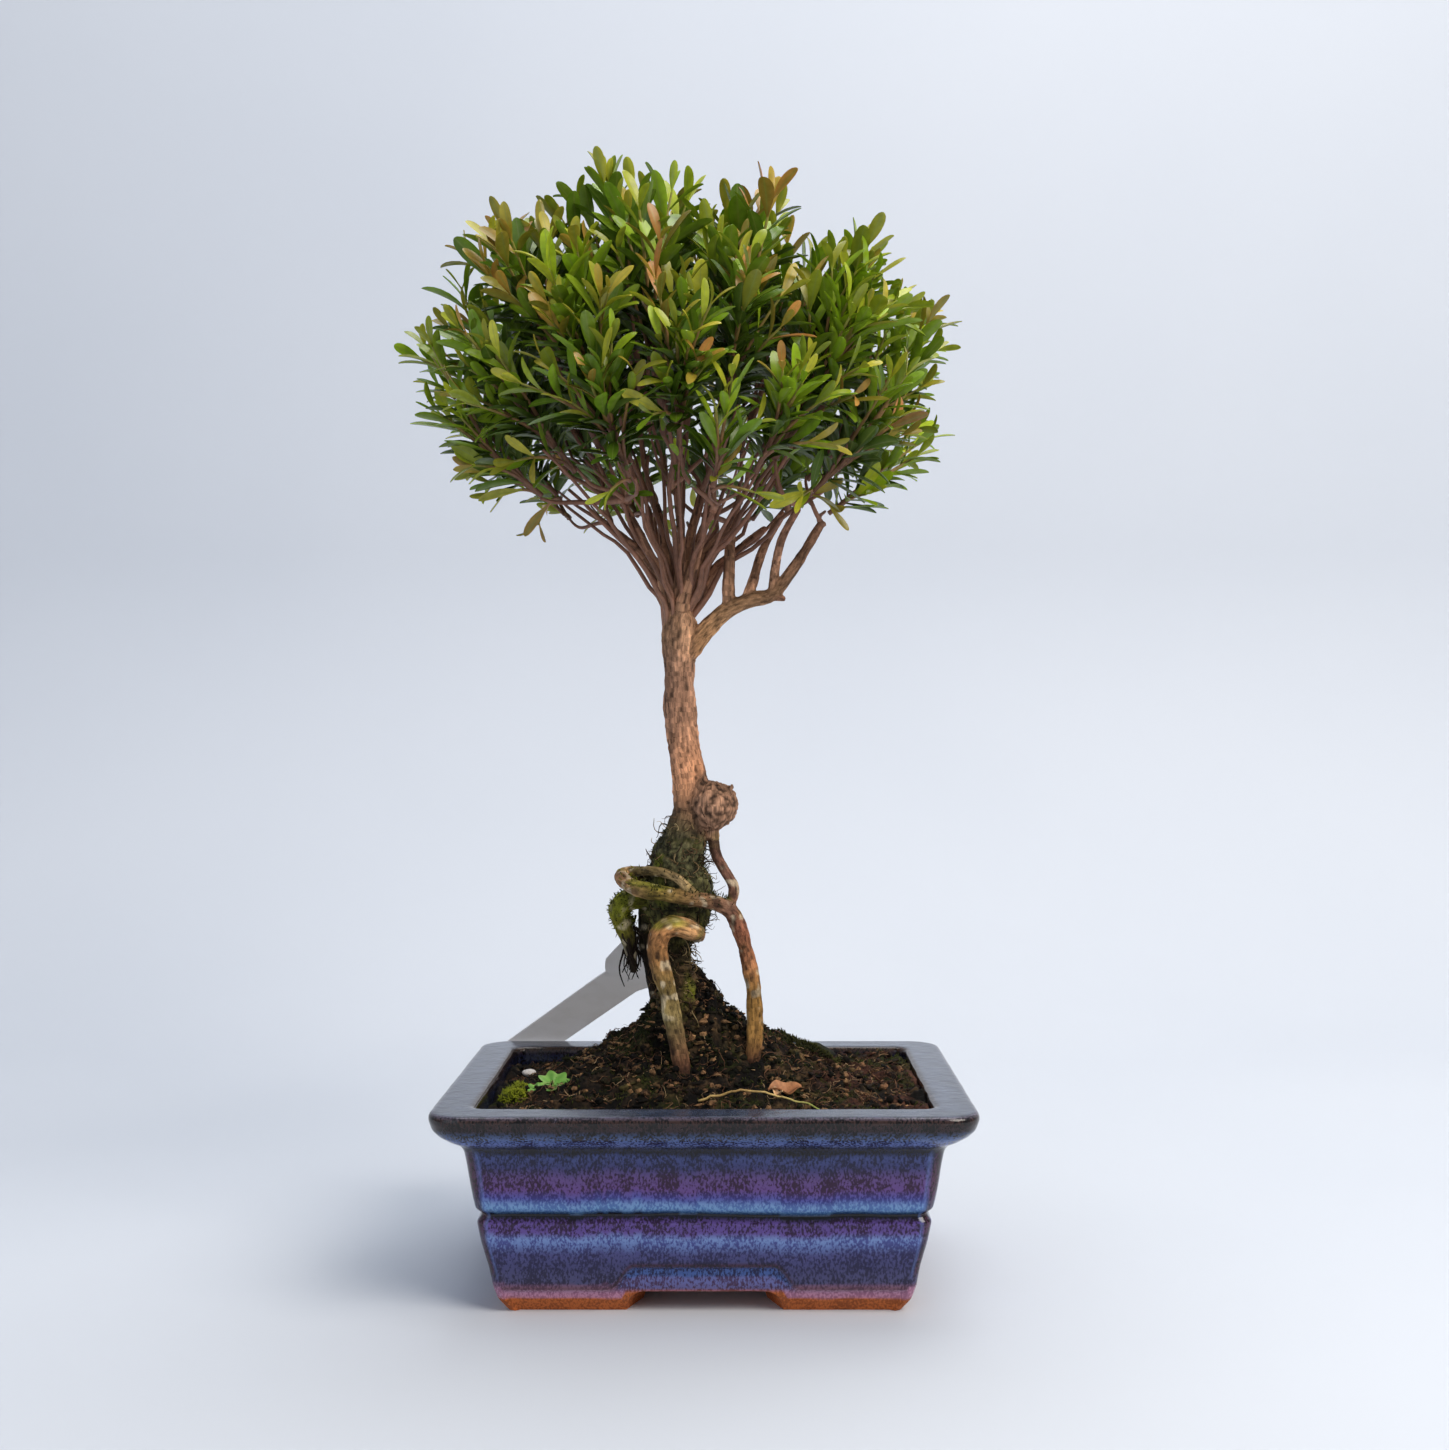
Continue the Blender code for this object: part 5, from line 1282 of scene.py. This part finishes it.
def leafy_twigs(ways, leaf, stem):
    """One piece for each spray: its shoots and its leaves, the newest bronze and the oldest dark green."""
    rng = np.random.default_rng(77)
    starts, bends, finish, owners, inner = twig_curves(ways, rng)
    feet, leaf_ways, face, order, shoot = leaf_places(starts, bends, finish, inner, rng)
    count = len(feet)
    young = np.array((0.62, 0.86, 1.0, 1.0, 0.97, 0.9, 0.84, 0.8))[order]
    high = smooth(feet[:, 2], 0.270, 0.345)
    lengths = LEAF_LENGTH * young * rng.uniform(0.78, 1.20, count) * (0.88 + 0.16 * high)
    lengths = np.where(inner[shoot] > 0, lengths * 0.85, lengths)
    widths = lengths * LEAF_SLIMNESS * rng.uniform(0.86, 1.15, count) * (0.92 + 0.16 * high)
    arcs = rng.normal(size=count) * 0.22 + 0.30
    fresh = rng.random(len(starts))[shoot]
    age = np.clip(order / 4.5 + rng.normal(size=count) * 0.16 + 0.25 * (inner[shoot] > 0), 0, 1)
    tint = ramp(("#a09c2c", "#7f981e", "#628018", "#466014", "#2c4010"), age)
    bronze = smooth(fresh, 0.55, 0.9) * (order < 2) * rng.uniform(0.3, 1.0, count)
    tint = toward(tint, "#b0603e", 0.8 * bronze)
    warm = smooth(noise(feet, 0.030, 63), 0.0, 0.6)
    tint = toward(tint, "#a0b81e", 0.4 * warm * (order < 4))
    tint = tint * rng.uniform(0.85, 1.75, (count, 1))
    side_values = np.tile(np.array((1.0, 0.0, 1.0, 0.0)), len(LEAF_STATIONS))
    below = np.tile(np.array((0.2, 0.0, 0.2, 1.0)), len(LEAF_STATIONS))

    share = np.linspace(0, 1, 10)
    for number, name in enumerate(SPRAYS):
        mine = owners[shoot] == number
        each = (feet, leaf_ways, face, lengths, widths, arcs)
        blade_points, blade_faces = leaves(*(array[mine] for array in each))
        own = (owners == number) & (inner == 0)
        curve = bezier(starts[own], bends[own], finish[own], np.broadcast_to(share, (own.sum(), 10)))
        radii = np.broadcast_to(np.linspace(0.00075, 0.00035, 10), curve.shape[:2]).copy()
        radii[0] = np.linspace(0.00095, 0.00045, 10)
        stem_points, stem_faces = tubes(curve, radii, 6)
        points, faces = join([(blade_points, blade_faces), (stem_points, stem_faces)])
        per_leaf = len(LEAF_STATIONS) * 4
        paint = np.repeat(tint[mine], per_leaf, 0)
        pale = np.tile(below, mine.sum())[:, None]
        paint = paint * (1 - 0.4 * pale) + linear("#7c9048") * 0.4 * pale
        wood = ramp(("#6e4a38", "#7d5a40", "#94703f", "#8a8a3a"), share)
        wood_paint = np.tile(np.repeat(wood, 6, 0), (own.sum(), 1))
        across = np.r_[np.tile(side_values, mine.sum()), np.ones(len(stem_points))]
        slots = [0] * len(blade_faces) + [1] * len(stem_faces)
        piece = make_object("leafy_twig_%02d" % (number + 1), points, list(zip(faces, slots)),
                            [leaf, stem], {"tint": np.vstack([paint, wood_paint])},
                            {"across": across, "grain": points}, sharp=65)
        settle(piece, "leaf", name)


# ---- Label and small things ----------------------------------------------------------
def plant_label(material):
    """A blank plastic label: a rounded strip carried from its creased head down over the back rim."""
    crease, head = in_pot((-28.1, 26, 27.9)), in_pot((-15.5, 15.5, 42.5))
    rim = np.array((POT_X - 0.0615, RIM_WIDTH / 2, POT_HEIGHT + 0.0009))
    run = unit(rim - crease)
    t = np.linspace(0, 1, 15)[:, None]
    upper = head * (1 - t) + crease * t + np.sin(t * pi) * np.array((0.0, -0.0006, 0.0004))
    lower = crease + run * t[1:] * (np.linalg.norm(rim - crease) + 0.022)
    path = np.vstack([upper, lower])
    width = np.r_[np.interp(t[:, 0], (0, 0.1, 0.8, 1), (0.0150, 0.0205, 0.0215, 0.0165)),
                  np.interp(t[1:, 0], (0, 0.12, 0.94, 1), (0.0160, 0.0160, 0.0160, 0.0120))]
    ahead = unit(np.gradient(path, axis=0))
    side = unit(np.array((1.0, 0, 0)) - ahead * ahead[:, :1])
    upward = np.cross(side, ahead)
    u = np.linspace(-1, 1, 9)
    cup = -0.0005 * (u ** 2) * np.r_[np.linspace(4.0, 2.0, 15), np.full(14, 0.3)][:, None]
    sheet = path[:, None] + side[:, None] * (width[:, None] * u / 2)[..., None]
    sheet = sheet + upward[:, None] * cup[..., None]
    thick = upward[:, None] * 0.00028
    points = np.concatenate([sheet + thick, (sheet - thick)[:, ::-1]], 1)
    faces = [(f, 0) for f in capped(*points.shape[:2])]
    return make_object("plant_label_strip", points, faces, [material], sharp=40)


def moss_cushion(name, node_name, codes, count, material, seed):
    """A cushion of moss over its box's oval: leaflets on a low dome, thickest in the middle."""
    rng = np.random.default_rng(seed)
    low, high, middle = node_box(node_name)
    half = (high - low) / 2
    turn, out = rng.uniform(0, 2 * pi, count), np.sqrt(rng.random(count))
    x = middle[0] + half[0] * out * np.cos(turn)
    y = middle[1] + half[1] * out * np.sin(turn)
    dome = 0.0022 * np.sqrt(np.clip(1 - out ** 2, 0, 1))
    feet = np.column_stack([x, y, ground(x, y) + dome - 0.0002])
    spread_out = np.column_stack([np.cos(turn) * out, np.sin(turn) * out, np.full(count, 0.7)])
    ways = unit(spread_out + rng.normal(size=(count, 3)) * 0.35)
    lengths, widths = rng.uniform(0.0008, 0.0018, count), rng.uniform(0.00014, 0.00026, count)
    points, faces = blades(feet, ways, lengths, widths)
    tip = np.tile(np.r_[np.zeros(3), np.full(3, 0.4), 1.0], count)
    tint = ramp(codes, 0.35 * np.repeat(rng.random(count), 7) + 0.65 * tip)
    base_centre = (on_ground(middle) - (0, 0, 0.0004))[None]
    base, base_faces = lumps(base_centre, np.array([[half[0] * 0.9, half[1] * 0.9, 0.0026]]), rng)
    points, faces = join([(points, faces), (base, base_faces)])
    tint = np.vstack([tint, np.broadcast_to(linear(codes[0]), base.shape)])
    return painted(name, points, faces, material, tint)


WEED_TILT = radians(42)


def weed_seedling(material):
    """A seedling's lobed leaf and two smaller ones: scalloped, dished and wrinkled discs on short stalks."""
    _, high, middle = node_box("weed_seedling")
    foot = on_ground(middle)
    parts, tints = [], []
    for dx, dy, dz, half_x, half_y, lobes, seed in (
            (0.0010, 0.0, 0.0006, 0.0052, 0.0036, 7, 1), (-0.0045, -0.0022, -0.0008, 0.0026, 0.0018, 5, 2),
            (0.0048, 0.0024, 0.0002, 0.0024, 0.0018, 5, 3)):
        turn, out = np.meshgrid(np.linspace(0, 2 * pi, 57)[:-1], np.linspace(0.04, 1, 9))
        edge = 1 + 0.13 * np.cos(lobes * turn) - 0.25 * np.exp(-((turn - pi) / 0.4) ** 2)
        x, y = half_x * out * edge * np.cos(turn), half_y * out * edge * np.sin(turn)
        z = 0.18 * half_x * out ** 2 + 0.0004 * out * np.cos(lobes * turn) + 0.0003 * out * noise(
            np.stack([x, y, 0 * x], -1), 0.0014, seed)
        centre = np.array((middle[0] + dx, middle[1] + dy, high[2] - 0.0030 + dz))
        c, s = cos(WEED_TILT), sin(WEED_TILT)
        upper = np.stack([x, y * c - z * s, y * s + z * c], -1) + centre
        lower = upper + np.array((0, s, -c)) * 0.00025
        rings = np.concatenate([upper, lower[::-1]])
        parts.append((rings.reshape(-1, 3), capped(*rings.shape[:2], True)))
        vein = np.abs(np.cos(lobes * turn / 2)) ** 6 * out
        tone = ramp(("#3f6a22", "#5f9436", "#a4c46a"), 0.25 + 0.25 * out + 0.15 * (1 - vein))
        tints.append(np.concatenate([tone, tone[::-1] * 0.8]).reshape(-1, 3))
        bend = (foot + centre) / 2 + (0, 0, 0.001)
        stalk = bezier(foot[None], bend[None], centre[None], np.linspace(0, 1, 6)[None])
        stalk_points, stalk_faces = tubes(stalk, np.full((1, 6), 0.00028), 6)
        parts.append((stalk_points, stalk_faces))
        tints.append(np.broadcast_to(linear("#7a9a4a"), stalk_points.shape))
    points, faces = join(parts)
    return painted("weed_leaf", points, faces, material, np.vstack(tints), sharp=60)


def dry_leaf(material):
    """A fallen leaf, curled up along both edges and creased, and a split sliver of another beside it."""
    middle = on_ground(node_box("dry_leaf")[2])
    parts, tints = [], []
    for length, width, turned, shift, codes in (
            (0.0105, 0.0052, 0.15, (0.0006, 0.0004, 0.0014), ("#5c3820", "#965f3a", "#b07a50")),
            (0.0070, 0.0017, -1.05, (-0.0020, -0.0022, 0.0014), ("#a8794f", "#c79a6c", "#dcb88c"))):
        t, u = np.meshgrid(np.linspace(0, 1, 15), np.linspace(-1, 1, 9), indexing="ij")
        half = width / 2 * np.sin(pi * (0.03 + 0.94 * t)) ** 0.8
        x, y = (t - 0.5) * length, u * half
        crinkle = 0.0003 * noise(np.stack([x, y, 0 * x], -1), 0.0018, 71)
        z = 0.6 * half * u ** 2 + 0.40 * y + 0.0009 * np.sin(2.6 * pi * t) + crinkle
        flat = np.stack([x * cos(turned) - y * sin(turned), x * sin(turned) + y * cos(turned), z], -1)
        upper = flat + (middle + shift)
        rings = np.concatenate([upper, (upper - (0, 0, 0.0002))[:, ::-1]], 1)
        parts.append((rings.reshape(-1, 3), capped(*rings.shape[:2], True)))
        rib = ramp(codes, 0.5 + 0.5 * np.abs(u) - 0.4 * (np.abs(u) < 0.1))
        tints.append(np.concatenate([rib, rib[:, ::-1]], 1).reshape(-1, 3))
    points, faces = join(parts)
    return painted("fallen_leaf", points, faces, material, np.vstack(tints), sharp=60)


def dry_stalk(material):
    """A dry grass stalk: a thin tapering tube that springs from the soil and arches over the fallen leaf."""
    low, high, _ = node_box("dry_stalk")
    t = np.linspace(0, 1, 30)
    x = low[0] + (high[0] - low[0]) * t
    y = high[1] + 0.0042 - 0.0078 * t ** 2
    soil = ground(x, y)
    z = 0.35 * soil + 0.65 * np.interp(t, (0, 1), (soil[0], soil[-1]))
    z = z + 0.0006 + 0.0034 * np.sin(pi * t) ** 0.8
    path = np.column_stack([x, y, z])[None]
    points, faces = tubes(path, np.linspace(0.00042, 0.00026, 30)[None], 8)
    tint = np.repeat(ramp(("#b59a62", "#a08250", "#c2a86e", "#8a9a4a"), t), 8, 0)
    return painted("straw_stalk", points, faces, material, tint)


def pebble(material):
    """A small water-worn stone: a ball of rings flattened and pushed by noise."""
    low, high, middle = node_box("pebble")
    half = (high - low) / 2
    rings, sides = 13, 20
    level, turn = np.meshgrid(np.linspace(0.04, 0.96, rings) * pi, np.arange(sides) * 2 * pi / sides,
                              indexing="ij")
    ball = np.stack([np.sin(level) * np.cos(turn), np.sin(level) * np.sin(turn), np.cos(level)], -1)
    points = middle + ball * half * (1 + 0.10 * noise(ball, 0.8, 81))[..., None]
    return painted("white_pebble", points, capped(rings, sides, True), material, linear("#cfc8c2"))


# ---- Studio ------------------------------------------------------------------------
def studio():
    """A pale floor that curves up into a pale back, and soft lights from above, the front and the left."""
    t = np.linspace(0, 1, 24)
    turn = t * pi / 2
    radius, back = 0.30, 0.35
    run = np.r_[-2.2, back + radius * np.sin(turn), back + radius]
    rise = np.r_[0.0, radius * (1 - np.cos(turn)), 2.2]
    x = np.linspace(-2.4, 2.4, 3)
    points = np.stack([np.broadcast_to(x, (len(run), 3)), np.broadcast_to(run[:, None], (len(run), 3)),
                       np.broadcast_to(rise[:, None], (len(run), 3))], -1)
    floor = make_object("studio_floor", points, [(grid_faces(len(run), 3, False), 0)],
                        [studio_card("pale_painted_card", "#c4cad3")])
    for name, place, size, power, tone in (
            ("window_light", (0.9, -0.75, 1.15), 0.9, 23, "#fff6ea"),
            ("front_light", (-1.0, -1.3, 0.55), 1.3, 5, "#e4edff"),
            ("top_light", (0.1, 0.25, 1.5), 1.0, 12, "#ffffff")):
        lamp = bpy.data.lights.new(name, "AREA")
        lamp.size = size
        lamp.energy = power
        lamp.color = linear(tone)
        holder = bpy.data.objects.new(name, lamp)
        holder.location = place
        holder.rotation_euler = (Vector((0, 0, 0.17)) - Vector(place)).to_track_quat("-Z", "Y").to_euler()
        bpy.context.scene.collection.objects.link(holder)
    world = bpy.data.worlds.new("soft_sky")
    world.use_nodes = True
    world.node_tree.nodes["Background"].inputs["Color"].default_value = colour("#e3e9f4")
    world.node_tree.nodes["Background"].inputs["Strength"].default_value = 0.42
    bpy.context.scene.world = world
    bpy.context.scene.view_settings.view_transform = "Standard"


def camera():
    """Level with the middle of the trunk, a little right of the pot's middle, looking straight at it."""
    lens = bpy.data.cameras.new("camera")
    lens.sensor_width = 36
    lens.lens = 41.96
    lens.shift_x = -0.0107
    lens.shift_y = -0.0020
    holder = bpy.data.objects.new("camera", lens)
    holder.location = (POT_X + 0.0107, -0.550, 0.1782)
    holder.rotation_euler = (radians(90), 0, 0)
    bpy.context.scene.collection.objects.link(holder)
    bpy.context.scene.camera = holder


def main():
    """Build every piece, fix it to the frame, then set up the studio."""
    ways = spread(len(SPRAYS), SPRAY_LEAST, SPRAY_TURN)
    # Air-dried bark: fine fissures 0.5 mm apart drawn out along each stem.
    bark = grown_material("fissured_bark", 0.76, 0.0005, 0.75, 0.00042, (1, 1, 0.4), "grain")
    # Young stems are smooth and a little waxy.
    young_bark = grown_material("young_stem_bark", 0.6, 0.0008, 0.25, 0.00006, (1, 1, 0.5), "grain")
    # Moist potting soil of humus and bark dust: grit 0.4 mm across, hardly any gloss.
    humus = grown_material("moist_humus", 0.92, 0.0006, 0.9, 0.0004)
    # Dry dead fibre, matt and nearly smooth, its colour streaked along its length.
    fibre = grown_material("dead_root_fibre", 0.85, 0.0005, 0.3, 0.00008)
    # Moss leaflets are matt and slightly see-through; their own shapes give the texture.
    moss = grown_material("living_moss", 0.8, 0.0009, 0.3, 0.00005)
    # A tender leaf has a thin, slightly shiny skin with a fine pimpled grain.
    tender = grown_material("tender_weed_leaf", 0.45, 0.0007, 0.2, 0.00008)
    # A dead leaf dries to a crisp, dull brown skin.
    crisp = grown_material("crisp_dead_leaf", 0.65, 0.0006, 0.3, 0.00010)
    # A water-worn quartz pebble: hard, pale and softly glossy.
    stone = grown_material("worn_white_quartz", 0.4, 0.0006, 0.15, 0.00005, ior=1.54)

    settle(glazed_pot(flambe_glaze()), "pot_glaze", "pot")
    screen = screen_plastic()
    for name in ("drain_screen_left", "drain_screen_right"):
        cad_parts[name].data.materials.clear()
        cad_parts[name].data.materials.append(screen)
    settle(soil_bed(humus), "soil", "soil")
    settle(soil_crumbs(humus), "soil")
    settle(soil_fibres(fibre), "soil")
    settle(moss_tufts(moss), "moss")
    settle(bark_wood(bark), "bark", "trunk_and_roots")
    settle(fine_branches(ways, young_bark), "bark")
    settle(root_fibres(fibre), "bark")
    settle(root_moss(moss), "moss")
    leafy_twigs(ways, waxy_leaf(), young_bark)
    settle(plant_label(label_plastic()), "label_plastic", "plant_label")
    settle(moss_cushion("moss_left", "moss_cushion_left", ("#3a4010", "#6a7418", "#a0a82c"), 900, moss, 5),
           "moss", "moss_cushion_left")
    settle(moss_cushion("moss_right", "moss_cushion_right", ("#181a0a", "#2a2c10", "#4a4a1c"), 1400, moss, 6),
           "moss", "moss_cushion_right")
    settle(weed_seedling(tender), "weed_leaf", "weed_seedling")
    settle(dry_leaf(crisp), "dead_leaf", "dry_leaf")
    settle(dry_stalk(fibre), "straw", "dry_stalk")
    settle(pebble(stone), "white_stone", "pebble")
    studio()
    camera()


main()
